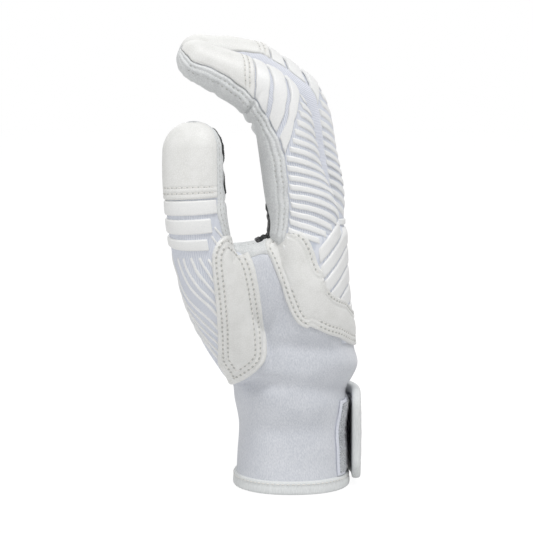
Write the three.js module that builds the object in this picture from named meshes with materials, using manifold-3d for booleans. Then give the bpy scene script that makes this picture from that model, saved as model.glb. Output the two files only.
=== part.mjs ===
// Batting glove for a right hand, standing on its cuff hem with the fingers up and curled towards -X.
// Millimetres, +Z up. The palm faces -X, the thumb side -Y, the back of the hand +X.
import * as THREE from 'three';
import { mergeVertices } from 'three/addons/utils/BufferGeometryUtils.js';
import Module from 'manifold-3d';

const wasm = await Module();
wasm.setup();

// Cloth, leather and the clearances between sewn pieces
const wall = 1.3;           // one sewn layer with its lining
const seamGap = 0.3;        // between pieces that touch
const patchThickness = 1.0; // leather patch sewn over the shell
const barThickness = 1;     // moulded flex bar on a finger
const gripThickness = 0.6;  // printed grip on the palm
const cutOverrun = 6;       // how far a cutting solid runs past what it cuts
const reach = 34;           // half size of a region that holds a whole finger

// Hand: depth is palm to back, width is thumb side to little-finger side
const hemDepth = 51;
const hemWidth = 66;
const wristDepth = 48;
const wristWidth = 62;
const heelDepth = 55;
const heelWidth = 73;
const palmDepth = 39;
const knuckleDepth = 35;
const knuckleWidth = 87;
const flareDepth = 53;
const flareWidth = 68.5;
const wristHeight = 27;     // narrowest place of the cuff above the hem
const flareHeight = 45;     // where the strap's upper edge lies against the cuff
const heelHeight = 57;
const palmHeight = 95;
const handHeight = 116;     // where the hand ends and the fingers' knuckle bands start
const knuckleSet = 7.5;     // the knuckles stand this far behind the wrist's axis
const palmSet = 6.5;
const heelSet = 1.5;
const hemSet = 0.6;
const flareSet = 0;
const gussetDepth = 10;     // strip along the little-finger side, between palm and back

// Fingers: lengths and thicknesses of the index finger's stall, which the others take shares of
const bandLength = 22;      // soft band across the knuckle
const knuckleRise = 11;     // from the top of the hand to the knuckle's axis
const proximalLength = 48;
const middleLength = 25;
const endLength = 22;
const knuckleThickness = 31;
const middleThickness = 24.5;
const tipThickness = 18.5;
const fingerGap = 0.7;      // between neighbouring stalls
const fingerPitch = (knuckleWidth + fingerGap) / 4;
// A place counts pitches from the hand's middle. Leans are degrees from upright, before and after each joint.
const fingerTable = {
  index: { place: -1.5, setShare: -0.19, riseShare: 0, sizeShare: 1 },
  middle: { place: -0.5, setShare: 0.2, riseShare: 0, sizeShare: 1 },
  ring: { place: 0.5, setShare: 0.13, riseShare: 0, sizeShare: 0.97 },
  pinky: { place: 1.5, setShare: -0.2, riseShare: -0.45, sizeShare: 0.9 },
};
const fingerLengthShares = {
  index: [1.01, 0.98, 0.985], middle: [1, 1.21, 1.165], ring: [0.96, 1, 1], pinky: [0.85, 0.84, 0.91],
};
const fingerLeans = {
  index: [2, 13.2, 63, 66.2], middle: [-2.5, 6.7, 59.5, 81.3], ring: [2, 12, 58, 76], pinky: [2, 14, 38, 50],
};
const frontShare = -0.36;   // palm leather wraps up the finger's side to this share of its half depth
const tipWidthShare = 0.86; // width of a fingertip against its base
const capLength = 33;       // leather tip from the end of the finger
const barPitch = 9.5;       // from one flex bar to the next
const barLength = 7.2;
const capSlant = 6;         // the lower ends of a seam across the finger lie this much nearer the knuckle
const barSlant = 3;         // and this much more from one bar to the next

// Thumb: its path is a list of places in shares of the thumb's own reach, height and set
const thumbForward = 43;    // tip in front of the wrist's axis
const thumbHeight = 164.5;  // tip of the path above the hem
const thumbOut = 53;        // tip beyond the hand's middle plane
const thumbPathShares = [[0.4, 0.46, 0.345], [0.655, 0.7, 0.465], [0.825, 0.88, 0.585], [0.915, 0.965, 0.69],
  [0.965, 1, 0.8], [0.985, 0.97, 1]];
const thumbWidth = 26.4;
const thumbDepth = 21;
const thumbBaseWidth = 30;
const thumbBaseDepth = 30;
const thumbStallLength = 57; // moving stall, measured from the tip
const thumbBandLength = 13;
const thumbCapLength = 30;
const thumbBarLength = 5.8;
const thumbBarPitch = 7.4;

// Web between thumb and palm
const webTop = 110;         // crotch of the thumb above the hem
const webHeight = 46;
const webRootShare = 0.8;   // the web's height at the thumb against its height in the hand
const webThickness = 19;
const webSteps = 6;

// Cuff, binding, closure
const tapeThickness = 0.9;
const tapeHeight = 6;
const loopThickness = 1;
const loopHeight = 32;
const loopWidth = 33;
const strapThickness = 2;
const strapHeight = 41;
const strapBase = 3;        // lower edge of the strap above the hem
const strapStandOff = 3.3;  // strap's middle line outside the cuff's widest part behind it
const strapCorner = 9;
const strapTapeWidth = 5;
const hookThickness = 0.9;
const badgeThickness = 1.1;
const badgeInset = 3;       // plain cloth between the strap's binding and its badge
const anchorLength = 11;
const hingeGap = 1;         // free cloth between the strap and its seam
const strapTurnShares = [0.19, 0.144, 0.1, 0.056, 0.014]; // the strap's line round the wrist, in turns
const elasticHeight = 8;
const elasticThickness = 1;

const radians = (degrees) => degrees * Math.PI / 180;
const mix = (a, b, t) => a + (b - a) * t;

function ease(t) {
  const c = Math.min(1, Math.max(0, t));
  return c * c * (3 - 2 * c);
}

// A value that passes softly from one [place, value] pair to the next.
function along(pairs, at) {
  if (at <= pairs[0][0]) return pairs[0][1];
  for (let i = 1; i < pairs.length; i++) {
    const [a, va] = pairs[i - 1];
    const [b, vb] = pairs[i];
    if (at <= b) return mix(va, vb, ease((at - a) / (b - a)));
  }
  return pairs[pairs.length - 1][1];
}

function solidOf(geometry) {
  geometry.deleteAttribute('normal');
  geometry.deleteAttribute('uv');
  const merged = mergeVertices(geometry, 1e-4);
  return new wasm.Manifold(new wasm.Mesh({
    numProp: 3,
    vertProperties: new Float32Array(merged.attributes.position.array),
    triVerts: new Uint32Array(merged.index.array),
  }));
}

// A closed solid through rings of points, with a fan over each end. Rings run anticlockwise seen from ahead.
function loft(rings) {
  const count = rings[0].length;
  const points = rings.flat();
  const faces = [];
  for (let i = 0; i + 1 < rings.length; i++) {
    for (let k = 0; k < count; k++) {
      const a = i * count + k;
      const b = i * count + (k + 1) % count;
      faces.push(a, b, b + count, a, b + count, a + count);
    }
  }
  for (const last of [false, true]) {
    const start = last ? (rings.length - 1) * count : 0;
    const centre = new THREE.Vector3();
    for (let k = 0; k < count; k++) centre.addScaledVector(points[start + k], 1 / count);
    points.push(centre);
    for (let k = 0; k < count; k++) {
      const a = start + k;
      const b = start + (k + 1) % count;
      faces.push(...(last ? [a, b, points.length - 1] : [b, a, points.length - 1]));
    }
  }
  const geometry = new THREE.BufferGeometry().setFromPoints(points);
  geometry.setIndex(faces);
  return solidOf(geometry);
}

// A point of a superellipse.
function roundedPoint(angle, halfDepth, halfWidth, power) {
  const c = Math.cos(angle);
  const s = Math.sin(angle);
  return new THREE.Vector2(Math.sign(c) * Math.abs(c) ** (2 / power) * halfDepth,
    Math.sign(s) * Math.abs(s) ** (2 / power) * halfWidth);
}

// A rounded section in the plane of normal (depth) and side (width).
function section(frame, halfDepth, halfWidth, power, sides) {
  return Array.from({ length: sides }, (_, k) => {
    const point = roundedPoint(2 * Math.PI * k / sides, halfDepth, halfWidth, power);
    return frame.centre.clone().addScaledVector(frame.normal, point.x).addScaledVector(frame.side, point.y);
  });
}

// Everything between two heights.
function layer(low, high) {
  const size = 20 * reach;
  const box = new THREE.BoxGeometry(size, size, high - low);
  return solidOf(box.translate(0, 0, (low + high) / 2));
}

// A prism through the hand along Y, from an outline of [x, z] points.
function sidePrism(outline, fromY, toY) {
  const shape = new THREE.Shape(outline.map(([x, z]) => new THREE.Vector2(x, z)));
  const prism = new THREE.ExtrudeGeometry(shape, { depth: toY - fromY, bevelEnabled: false });
  return solidOf(prism.rotateX(Math.PI / 2).translate(0, toY, 0));
}

// A region grown by the seam gap, as copies of it moved each way.
function cleared(region) {
  let grown = region;
  for (const [x, y, z] of [[1, 0, 0], [-1, 0, 0], [0, 1, 0], [0, -1, 0], [0, 0, 1], [0, 0, -1]]) {
    grown = grown.add(region.translate(x * seamGap, y * seamGap, z * seamGap));
  }
  return grown;
}

// The largest single body of a solid, so that no crumb of a cut stays with it.
function whole(solid) {
  return solid.decompose().sort((a, b) => b.volume() - a.volume())[0];
}

const glove = new THREE.Group();
const finishes = {
  knit: [0xc9cfdd, 0.85],
  leather: [0xe6e6e3, 0.5],
  palmLeather: [0xc9cbca, 0.6],
  neoprene: [0xd2d5db, 0.9],
  moulded: [0xefefed, 0.4],
  tape: [0xe2e4e3, 0.7],
  grip: [0x17181a, 0.55],
  hook: [0x8a8e93, 1],
};

function addNode(name, solid, finish) {
  const { vertProperties, triVerts } = whole(whole(solid).simplify(seamGap / 12)).getMesh();
  const geometry = new THREE.BufferGeometry();
  geometry.setAttribute('position', new THREE.BufferAttribute(new Float32Array(vertProperties), 3));
  geometry.setIndex(new THREE.BufferAttribute(triVerts, 1));
  const [color, roughness] = finishes[finish];
  const mesh = new THREE.Mesh(geometry, new THREE.MeshStandardMaterial({ color, roughness, metalness: 0 }));
  mesh.name = name;
  glove.add(mesh);
}

// Fingers. A stall is the tube that holds one finger: its path, depth, width and domed tip.
const stallSides = 14;
const stallPower = 2.3;

function fingerStall(name) {
  const { place, setShare, riseShare, sizeShare } = fingerTable[name];
  const leans = fingerLeans[name];
  const base = new THREE.Vector3(knuckleSet * (1 + setShare), place * fingerPitch, handHeight);
  const [proximal, middle, distal] = [proximalLength, middleLength, endLength]
    .map((v, i) => v * fingerLengthShares[name][i]);
  const depths = [knuckleThickness, middleThickness, tipThickness].map((v) => v * sizeShare);
  const knuckle = knuckleRise * (1 + riseShare);
  const length = knuckle + proximal + middle + distal;
  const joints = [knuckle, knuckle + proximal, knuckle + proximal + middle];
  const spread = [knuckleRise, proximal * 0.35, middle / 2];
  const leanAt = (s) => joints.reduce((lean, joint, i) => lean
    + (leans[i + 1] - leans[i]) * ease((s - joint + spread[i]) / (2 * spread[i])), leans[0]);
  const frameAt = (s) => {
    const steps = Math.max(1, Math.ceil(Math.abs(s) / (length / 60)));
    const centre = base.clone();
    for (let i = 0; i < steps; i++) {
      const lean = radians(leanAt(s * (i + 0.5) / steps));
      centre.x -= Math.sin(lean) * s / steps;
      centre.z += Math.cos(lean) * s / steps;
    }
    const lean = radians(leanAt(s));
    return {
      centre,
      normal: new THREE.Vector3(Math.cos(lean), 0, Math.sin(lean)),
      side: new THREE.Vector3(0, 1, 0),
    };
  };
  const halfWidth = (fingerPitch - fingerGap) / 2;
  return {
    length,
    joints,
    frameAt,
    dome: depths[2] / 2,
    halfDepth: (s) => along([[knuckle, depths[0]], [joints[1], depths[1]], [length, depths[2]]], s) / 2,
    halfWidth: (s) => along([[joints[1], halfWidth], [length, halfWidth * tipWidthShare]], s),
  };
}

function thumbStall() {
  const path = new THREE.CatmullRomCurve3(thumbPathShares.map(([x, y, z]) =>
    new THREE.Vector3(-x * thumbForward, -y * thumbOut, z * thumbHeight)), false, 'centripetal');
  const length = path.getLength();
  const frameAt = (s) => {
    const share = Math.min(1, Math.max(0, s / length));
    const tangent = path.getTangentAt(share);
    const centre = path.getPointAt(share).addScaledVector(tangent, s - share * length);
    const nail = new THREE.Vector3(-0.25, -1, 0);
    const normal = nail.addScaledVector(tangent, -nail.dot(tangent)).normalize();
    return { centre, normal, side: new THREE.Vector3().crossVectors(tangent, normal) };
  };
  const stallStart = length - thumbStallLength;
  const depths = [[0, thumbBaseDepth], [stallStart, thumbDepth * 1.07], [length, thumbDepth * 0.86]];
  const widths = [[0, thumbBaseWidth], [stallStart, thumbWidth], [length, thumbWidth * 0.94]];
  return {
    length,
    frameAt,
    dome: thumbDepth * 0.55,
    halfDepth: (s) => along(depths, s) / 2,
    halfWidth: (s) => along(widths, s) / 2,
  };
}

// The whole stall as a solid, its surface moved out by offset, from a place on its path to the domed tip.
function stallSolid(stall, offset, from) {
  const rings = [];
  const domeStart = stall.length - stall.dome;
  const steps = Math.ceil((domeStart - from) / (stall.dome * 0.8));
  const ring = (s, size) => section(stall.frameAt(s), (stall.halfDepth(s) + offset) * size,
    (stall.halfWidth(s) + offset) * size, stallPower, stallSides);
  for (let i = 0; i <= steps; i++) rings.push(ring(mix(from, domeStart, i / steps), 1));
  for (const angle of [32, 58, 80]) {
    rings.push(ring(domeStart + (stall.dome + offset) * Math.sin(radians(angle)), Math.cos(radians(angle))));
  }
  return loft(rings);
}

// A region that follows a stall from one place to another, between two heights over its middle line and
// two places across it. The lower corners are drawn back towards the hand by slant.
function strip(stall, from, to, low, high, left, right, slant = 0) {
  const steps = Math.max(2, Math.ceil((to - from) / (stall.dome * 0.8)));
  const value = (v, s) => (typeof v === 'function' ? v(s) : v);
  const corner = (s, height, across) => {
    const frame = stall.frameAt(s);
    return frame.centre.addScaledVector(frame.normal, height).addScaledVector(frame.side, across);
  };
  return loft(Array.from({ length: steps + 1 }, (_, i) => {
    const s = mix(from, to, i / steps);
    const [bottom, top] = [value(low, s), value(high, s)];
    return [
      corner(s - slant, bottom, left),
      corner(s, top, left),
      corner(s, top, right),
      corner(s - slant, bottom, right),
    ];
  }));
}

// The palm leather's share of a stall: under its side line, and round the end of the fingertip.
function frontLine(stall) {
  const wrapStart = stall.length - stall.dome * 0.55;
  return (s) => stall.halfDepth(s) * mix(frontShare, 1.3, ease((s - wrapStart) / (stall.dome * 0.6)));
}

function frontRegion(stall, from, grow) {
  const line = frontLine(stall);
  return strip(stall, from, stall.length + cutOverrun, -reach / 1.6, (s) => line(s) + grow, -reach, reach);
}

function shellBetween(stall, inner, outer, from) {
  return stallSolid(stall, outer, from).subtract(stallSolid(stall, inner, from - cutOverrun));
}

// One stall's sewn pieces above its band: palm leather, back, tip cap, flex bars and the side walls.
function addStall(name, stall, piece) {
  const { start, cap, bars, barSize, pitch, slant, slantStep, walls, left, right } = piece;
  const shell = shellBetween(stall, -wall, 0, start);
  const front = frontRegion(stall, start - cutOverrun, 0);
  addNode(`${name}_front`, shell.intersect(front), 'palmLeather');
  const rest = shell.subtract(frontRegion(stall, start - cutOverrun, seamGap));
  const end = stall.length + cutOverrun;
  const capFrom = stall.length - cap;
  const capRegion = (from) => strip(stall, from, end, -stall.dome * 0.8, reach, -reach, reach, slant);
  addNode(`${name}_tip_cap`, rest.intersect(capRegion(capFrom)), 'leather');
  let back = rest.subtract(capRegion(capFrom - seamGap));
  for (const [wallName, sign] of walls) {
    const inside = stall.halfWidth(start) * 0.6;
    const wallRegion = (grow) => {
      const sides = sign > 0 ? [inside - grow, reach] : [-reach, grow - inside];
      const top = (s) => stall.halfDepth(s) * 0.42 + grow;
      return strip(stall, start - cutOverrun, capFrom + cutOverrun, -reach / 1.6, top, ...sides);
    };
    addNode(wallName, back.intersect(wallRegion(0)), 'knit');
    back = back.subtract(wallRegion(seamGap));
  }
  addNode(`${name}_back`, back, 'knit');
  const skin = shellBetween(stall, seamGap * 1.2, seamGap + barThickness, start)
    .subtract(frontRegion(stall, start - cutOverrun, seamGap));
  for (let i = 0; i < bars; i++) {
    const to = capFrom - seamGap * 4 - i * pitch;
    const low = -stall.dome * 0.8;
    const region = strip(stall, to - barSize, to, low, reach, left, right, slant + i * slantStep);
    addNode(`${name}_bar_${i + 1}`, skin.intersect(region), 'moulded');
  }
}

// Hand: rings from the hem to the knuckles.
const handSides = 28;
const handProfile = [
  [0, hemSet, hemDepth, hemWidth, 2.2],
  [wristHeight * 0.45, hemSet, mix(hemDepth, wristDepth, 0.6), mix(hemWidth, wristWidth, 0.6), 2.2],
  [wristHeight, hemSet, wristDepth, wristWidth, 2.2],
  [flareHeight, flareSet, flareDepth, flareWidth, 2.2],
  [heelHeight, heelSet, heelDepth, heelWidth, 2.3],
  [mix(heelHeight, palmHeight, 0.5), mix(heelSet, palmSet, 0.55), mix(heelDepth, palmDepth, 0.5),
    mix(heelWidth, knuckleWidth, 0.5), 2.5],
  [palmHeight, palmSet, palmDepth, mix(heelWidth, knuckleWidth, 0.88), 2.7],
  [handHeight, knuckleSet, knuckleDepth, knuckleWidth, 3],
];

function handRing([z, x, depth, width, power], offset) {
  const frame = {
    centre: new THREE.Vector3(x, 0, z),
    normal: new THREE.Vector3(1, 0, 0),
    side: new THREE.Vector3(0, 1, 0),
  };
  return section(frame, depth / 2 + offset, width / 2 + offset, power, handSides);
}

function handSolid(offset, overrun) {
  const rings = handProfile.map((place) => handRing(place, offset));
  if (overrun) {
    const [first, last] = [handProfile[0], handProfile[handProfile.length - 1]];
    rings.unshift(handRing([first[0] - overrun, ...first.slice(1)], offset));
    rings.push(handRing([last[0] + overrun, ...last.slice(1)], offset));
  }
  return loft(rings);
}

const thumb = thumbStall();
const thumbStart = thumb.length - thumbStallLength;
const bandStart = thumbStart - thumbBandLength;

// Its rings stand along the thumb at one end and upright in the hand at the other.
function webSolid(offset) {
  const root = thumb.frameAt(bandStart - webHeight * 0.3);
  const from = root.centre;
  const thumbwards = new THREE.Vector3().crossVectors(root.normal, root.side);
  const to = new THREE.Vector3(palmSet - knuckleDepth * 0.1, -knuckleWidth * 0.3, webTop - webHeight / 2);
  const dip = from.clone().lerp(to, 0.42);
  dip.z -= webHeight * 0.03;
  const path = new THREE.QuadraticBezierCurve3(from, dip, to);
  return loft(Array.from({ length: webSteps + 1 }, (_, i) => {
    const share = i / webSteps;
    const tangent = path.getTangentAt(share);
    const up = thumbwards.clone().lerp(new THREE.Vector3(0, 0, 1), share);
    up.addScaledVector(tangent, -tangent.dot(up)).normalize();
    const side = new THREE.Vector3().crossVectors(tangent, up);
    const frame = { centre: path.getPointAt(share), normal: up, side };
    const half = webHeight * mix(webRootShare, 1, share) / 2;
    return section(frame, half + offset, webThickness / 2 + offset, 2.2, stallSides);
  }));
}

// Hand, lower thumb and web as one solid, its surface moved out by offset.
const grown = (offset, overrun = 0) => handSolid(offset, overrun)
  .add(stallSolid(thumb, offset, 0)).add(webSolid(offset));

// Where the thumb's own stall and its soft band are, which the hand's pieces stay out of.
const thumbRegion = strip(thumb, bandStart, thumb.length + cutOverrun, -reach, reach, -reach, reach);
const thumbSpace = thumbRegion.intersect(stallSolid(thumb, seamGap + barThickness, 0));
const patchSpace = thumbRegion.intersect(stallSolid(thumb, seamGap + barThickness + patchThickness, 0));
const inner = grown(-wall, cutOverrun);
const handShell = grown(0).subtract(inner).subtract(thumbSpace);
const overShell = (from, to) => grown(to).subtract(grown(from, cutOverrun)).subtract(patchSpace)
  .intersect(layer(0, handHeight));

// Outlines on the thumb side, as shares of the hand's height along x and z.
const scaled = (shares) => shares.map(([x, z]) => [x * handHeight, z * handHeight]);
const tongueShares = [[-0.21, 1.1], [-0.2, 0.82], [-0.19, 0.62], [-0.25, 0.42], [-0.6, 0.38], [-0.6, -0.1],
  [0.6, -0.1], [0.6, 0.56], [0.26, 0.56], [0.08, 0.66], [0, 0.76], [-0.08, 0.93], [-0.1, 1.1]];
const thumbPatchShares = [[-0.274, 0.905], [-0.225, 0.925], [-0.162, 0.87], [-0.13, 0.78], [-0.11, 0.64],
  [-0.115, 0.52],
  [-0.16, 0.47], [-0.235, 0.425], [-0.27, 0.47], [-0.285, 0.64], [-0.305, 0.81]];
const handPatchShares = [[-0.1, 0.955], [-0.05, 0.97], [-0.01, 0.985], [0.05, 0.975], [0.09, 0.9], [0.115, 0.79],
  [0.16, 0.72],
  [0.34, 0.66], [0.34, 0.5], [0.2, 0.57], [0.04, 0.625], [-0.005, 0.69], [-0.045, 0.82]];
const cuffShares = [[-0.6, 0.38], [-0.6, -0.1], [0.6, -0.1], [0.6, 0.56], [0.1, 0.5], [-0.1, 0.42]];
const farY = hemWidth + thumbOut;

const tongue = sidePrism(scaled(tongueShares), -farY, -heelWidth * 0.25)
  .add(sidePrism(scaled(cuffShares), -farY, farY));
const sewnHem = layer(tapeThickness + seamGap, handHeight + cutOverrun);
addNode('cuff_body', handShell.intersect(tongue).intersect(sewnHem), 'neoprene');
const upperShell = handShell.subtract(cleared(tongue));
const thumbBackRegion = strip(thumb, -cutOverrun, bandStart + cutOverrun, 0, reach, -reach, reach / 2);
addNode('thumb_lower_back', upperShell.intersect(thumbBackRegion), 'knit');
const faceShell = upperShell.subtract(cleared(thumbBackRegion));
const gussetFront = palmSet - gussetDepth / 2;
const gussetBack = knuckleSet + gussetDepth / 2;
const gussetRegion = sidePrism([[gussetFront, heelHeight * 0.8], [gussetBack, heelHeight * 0.8],
  [gussetBack, handHeight + cutOverrun], [gussetFront, handHeight + cutOverrun]], knuckleWidth * 0.3, farY);
addNode('little_finger_gusset', faceShell.intersect(gussetRegion), 'knit');
const panels = faceShell.subtract(cleared(gussetRegion));
const backHalf = (x) => sidePrism(
  [[x, -cutOverrun], [4 * reach, -cutOverrun], [4 * reach, 6 * reach], [x, 6 * reach]], -farY, farY);
addNode('back_panel', panels.intersect(backHalf(gussetFront)), 'knit');
addNode('palm_panel', panels.subtract(backHalf(gussetFront - seamGap)), 'palmLeather');
addNode('thumb_patch', overShell(seamGap, seamGap + patchThickness)
  .intersect(sidePrism(scaled(thumbPatchShares), -farY, -webThickness * 1.5)), 'leather');
addNode('hand_patch', overShell(seamGap, seamGap + patchThickness)
  .intersect(sidePrism(scaled(handPatchShares), -farY, 0)), 'leather');

// Grip printed on the palm, seen from the palm side: a rounded pad across the hand.
const gripShape = new THREE.Shape();
gripShape.absellipse(0, 0, knuckleWidth * 0.3, handHeight * 0.26, 0, 2 * Math.PI);
const gripSettings = { depth: reach, bevelEnabled: false, curveSegments: 10 };
const gripPrism = new THREE.ExtrudeGeometry(gripShape, gripSettings);
gripPrism.rotateX(Math.PI / 2).rotateZ(-Math.PI / 2).translate(0, knuckleWidth * 0.14, handHeight * 0.7);
addNode('palm_grip', overShell(seamGap, seamGap + gripThickness).intersect(solidOf(gripPrism)), 'grip');

// Thumb: soft band across its knuckle, then the moving stall.
addNode('thumb_band', shellBetween(thumb, -wall, 0, bandStart + seamGap)
  .intersect(strip(thumb, bandStart + seamGap, thumbStart - seamGap, -reach, reach, -reach, reach)), 'knit');
addStall('thumb', thumb, {
  start: thumbStart,
  cap: thumbCapLength,
  bars: 3,
  barSize: thumbBarLength,
  pitch: thumbBarPitch,
  slant: 0,
  slantStep: 0,
  walls: [],
  left: -reach,
  right: reach,
});
const padEnds = [thumb.length - thumbCapLength * 0.95, thumb.length - thumb.dome * 0.8];
const thumbPad = strip(thumb, ...padEnds, -reach, -thumb.dome * 0.4, -thumbWidth * 0.42, thumbWidth * 0.42);
const thumbSkin = shellBetween(thumb, seamGap, seamGap + gripThickness, thumbStart);
addNode('thumb_grip', thumbSkin.intersect(thumbPad), 'grip');

const wallsOf = {
  index: [['index_side_wall', 1]],
  middle: [['middle_side_wall_a', -1], ['middle_side_wall_b', 1]],
  ring: [['ring_side_wall_a', -1], ['ring_side_wall_b', 1]],
  pinky: [['pinky_side_wall', -1]],
};
for (const [name, { sizeShare }] of Object.entries(fingerTable)) {
  const stall = fingerStall(name);
  addNode(`${name}_band`, shellBetween(stall, -wall, 0, -cutOverrun)
    .intersect(strip(stall, -cutOverrun, bandLength - seamGap, -reach, reach, -reach, reach))
    .intersect(layer(handHeight + seamGap, 2 * handHeight)), 'knit');
  const between = (fingerPitch / 2 - fingerGap) * 0.86;
  addStall(name, stall, {
    start: bandLength,
    cap: capLength * sizeShare,
    bars: 3,
    barSize: barLength * sizeShare,
    pitch: barPitch * sizeShare,
    slant: capSlant * sizeShare,
    slantStep: barSlant * sizeShare,
    walls: wallsOf[name],
    left: name === 'index' ? -reach : -between,
    right: name === 'pinky' ? reach : between,
  });
}

// Hem binding: a tape folded over the cuff's lower edge.
const hemLayer = layer(0, tapeHeight);
const tapeReach = seamGap + tapeThickness;
const hemRing = handSolid(tapeReach, 0).subtract(handSolid(-wall - tapeReach, cutOverrun));
const hemSlot = handSolid(seamGap, cutOverrun).subtract(handSolid(-wall - seamGap, cutOverrun))
  .intersect(layer(tapeThickness, tapeHeight + cutOverrun));
addNode('hem_binding', hemRing.intersect(hemLayer).subtract(hemSlot), 'tape');

// Elastic sewn inside the wrist, on the palm side.
const elasticBase = mix(wristHeight, heelHeight, 0.35);
const wristInside = handSolid(-wall - seamGap, cutOverrun)
  .subtract(handSolid(-wall - seamGap - elasticThickness, 2 * cutOverrun));
addNode('wrist_elastic', wristInside.intersect(layer(elasticBase, elasticBase + elasticHeight))
  .subtract(backHalf(0)), 'knit');

// Closure: loop patch on the cuff, and a strap that runs round the back of the wrist to it.
const loopBase = tapeHeight + 4 * seamGap;
const backStrip = (fromY, toY, low, high) => {
  const box = new THREE.BoxGeometry(hemDepth, toY - fromY, high - low);
  return solidOf(box.translate(hemDepth / 2, (fromY + toY) / 2, (low + high) / 2));
};
addNode('loop_patch', handSolid(seamGap + loopThickness, cutOverrun).subtract(handSolid(seamGap, cutOverrun))
  .intersect(backStrip(-loopWidth / 2, loopWidth / 2, loopBase, loopBase + loopHeight)), 'hook');

// The strap's middle line, seen from above: it leaves the cuff at the little-finger side, follows the back
// of the wrist and runs out straight to its free end.
const strapRound = (turn) => roundedPoint(2 * Math.PI * turn, flareDepth / 2 + strapStandOff,
  flareWidth / 2 + strapStandOff, 2.2).add(new THREE.Vector2(flareSet, 0));
const strapFree = -wristWidth * 0.26;
const strapLine = new THREE.SplineCurve([...strapTurnShares.map(strapRound),
  new THREE.Vector2(strapRound(0).x, strapFree)]);
const strapLength = strapLine.getLength();

// A slab that follows the strap's line: faces at in and out of the line, from one place along it to another,
// with its free end's corners rounded.
function strapSlab(inward, outward, from, to, low, high, corner) {
  const steps = 12;
  const edge = (offset) => Array.from({ length: steps + 1 }, (_, i) => {
    const share = Math.min(1, Math.max(0, mix(from, to, i / steps) / strapLength));
    const tangent = strapLine.getTangentAt(share);
    const beyond = mix(from, to, i / steps) - share * strapLength;
    return strapLine.getPointAt(share).addScaledVector(tangent, beyond)
      .add(new THREE.Vector2(-tangent.y, tangent.x).multiplyScalar(offset));
  });
  const shape = new THREE.Shape([...edge(-inward), ...edge(outward).reverse()]);
  const slab = new THREE.ExtrudeGeometry(shape, { depth: high - low, bevelEnabled: false });
  let solid = solidOf(slab.translate(0, 0, low));
  if (!corner) return solid;
  const end = strapFree - (to - strapLength);
  const square = new THREE.Shape();
  square.moveTo(end + corner, low - cutOverrun);
  square.absarc(end + corner, low + corner, corner, -Math.PI / 2, -Math.PI, true);
  square.absarc(end + corner, high - corner, corner, Math.PI, Math.PI / 2, true);
  square.lineTo(farY, high + cutOverrun).lineTo(farY, low - cutOverrun);
  const keep = new THREE.ExtrudeGeometry(square, { depth: 4 * reach, bevelEnabled: false, curveSegments: 5 });
  keep.rotateX(Math.PI / 2).rotateZ(Math.PI / 2).translate(-reach, 0, 0);
  return solid.intersect(solidOf(keep));
}

const strapTop = strapBase + strapHeight;
const half = strapThickness / 2;
const core = (grow) => strapSlab(half + grow, half + grow,
  hingeGap - grow, strapLength - tapeThickness + grow,
  strapBase + tapeThickness - grow, strapTop - tapeThickness + grow, strapCorner - tapeThickness + grow);
addNode('strap', core(0), 'knit');
const tapeOut = half + tapeReach;
const anchor = strapSlab(strapStandOff * 3, tapeOut, -anchorLength, 0, strapBase, strapTop, 0);
const nearHem = handSolid(seamGap + tapeReach, cutOverrun).intersect(layer(0, tapeHeight + seamGap));
addNode('strap_anchor', anchor.subtract(handSolid(seamGap, cutOverrun)).subtract(nearHem), 'knit');
const window = strapSlab(2 * tapeOut, 2 * tapeOut, -cutOverrun, strapLength - strapTapeWidth - seamGap,
  strapBase + strapTapeWidth, strapTop - strapTapeWidth, strapCorner - strapTapeWidth);
addNode('strap_binding', strapSlab(tapeOut, tapeOut, hingeGap, strapLength, strapBase, strapTop, strapCorner)
  .subtract(window).subtract(core(seamGap)), 'tape');
const inset = strapTapeWidth + 2 * seamGap;
const face = half + seamGap;
addNode('hook_patch', strapSlab(face + hookThickness, -face, strapLength * 0.42, strapLength - inset,
  strapBase + inset, strapTop - inset, strapCorner - inset), 'hook');
const badgeRise = inset + badgeInset;
addNode('strap_badge', strapSlab(-face, face + badgeThickness, strapLength * 0.3, strapLength - inset,
  strapBase + badgeRise, strapTop - badgeRise, strapCorner - inset), 'moulded');

const box = new THREE.Box3().setFromObject(glove);
glove.position.set(-(box.min.x + box.max.x) / 2, -(box.min.y + box.max.y) / 2, -box.min.z);

export default glove;
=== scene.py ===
import bpy
import math
import numpy as np
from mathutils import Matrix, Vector
from mathutils.bvhtree import BVHTree
from mathutils.kdtree import KDTree


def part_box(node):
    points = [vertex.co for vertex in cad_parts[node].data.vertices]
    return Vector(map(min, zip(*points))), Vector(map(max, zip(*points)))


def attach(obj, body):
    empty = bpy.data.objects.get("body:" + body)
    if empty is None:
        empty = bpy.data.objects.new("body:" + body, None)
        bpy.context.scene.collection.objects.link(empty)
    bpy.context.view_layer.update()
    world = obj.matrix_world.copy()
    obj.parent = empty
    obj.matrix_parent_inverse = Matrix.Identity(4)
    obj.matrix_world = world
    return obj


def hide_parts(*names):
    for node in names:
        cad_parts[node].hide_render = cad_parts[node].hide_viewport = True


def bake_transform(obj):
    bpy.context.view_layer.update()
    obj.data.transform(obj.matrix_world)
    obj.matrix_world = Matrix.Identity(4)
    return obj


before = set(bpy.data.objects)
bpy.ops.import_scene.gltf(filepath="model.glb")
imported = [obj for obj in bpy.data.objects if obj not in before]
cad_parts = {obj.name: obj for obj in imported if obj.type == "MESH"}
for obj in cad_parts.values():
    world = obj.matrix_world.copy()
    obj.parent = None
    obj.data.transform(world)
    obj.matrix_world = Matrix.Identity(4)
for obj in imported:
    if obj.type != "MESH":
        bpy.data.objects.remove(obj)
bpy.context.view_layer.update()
print("frame loaded,", len(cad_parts), "nodes")

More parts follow.
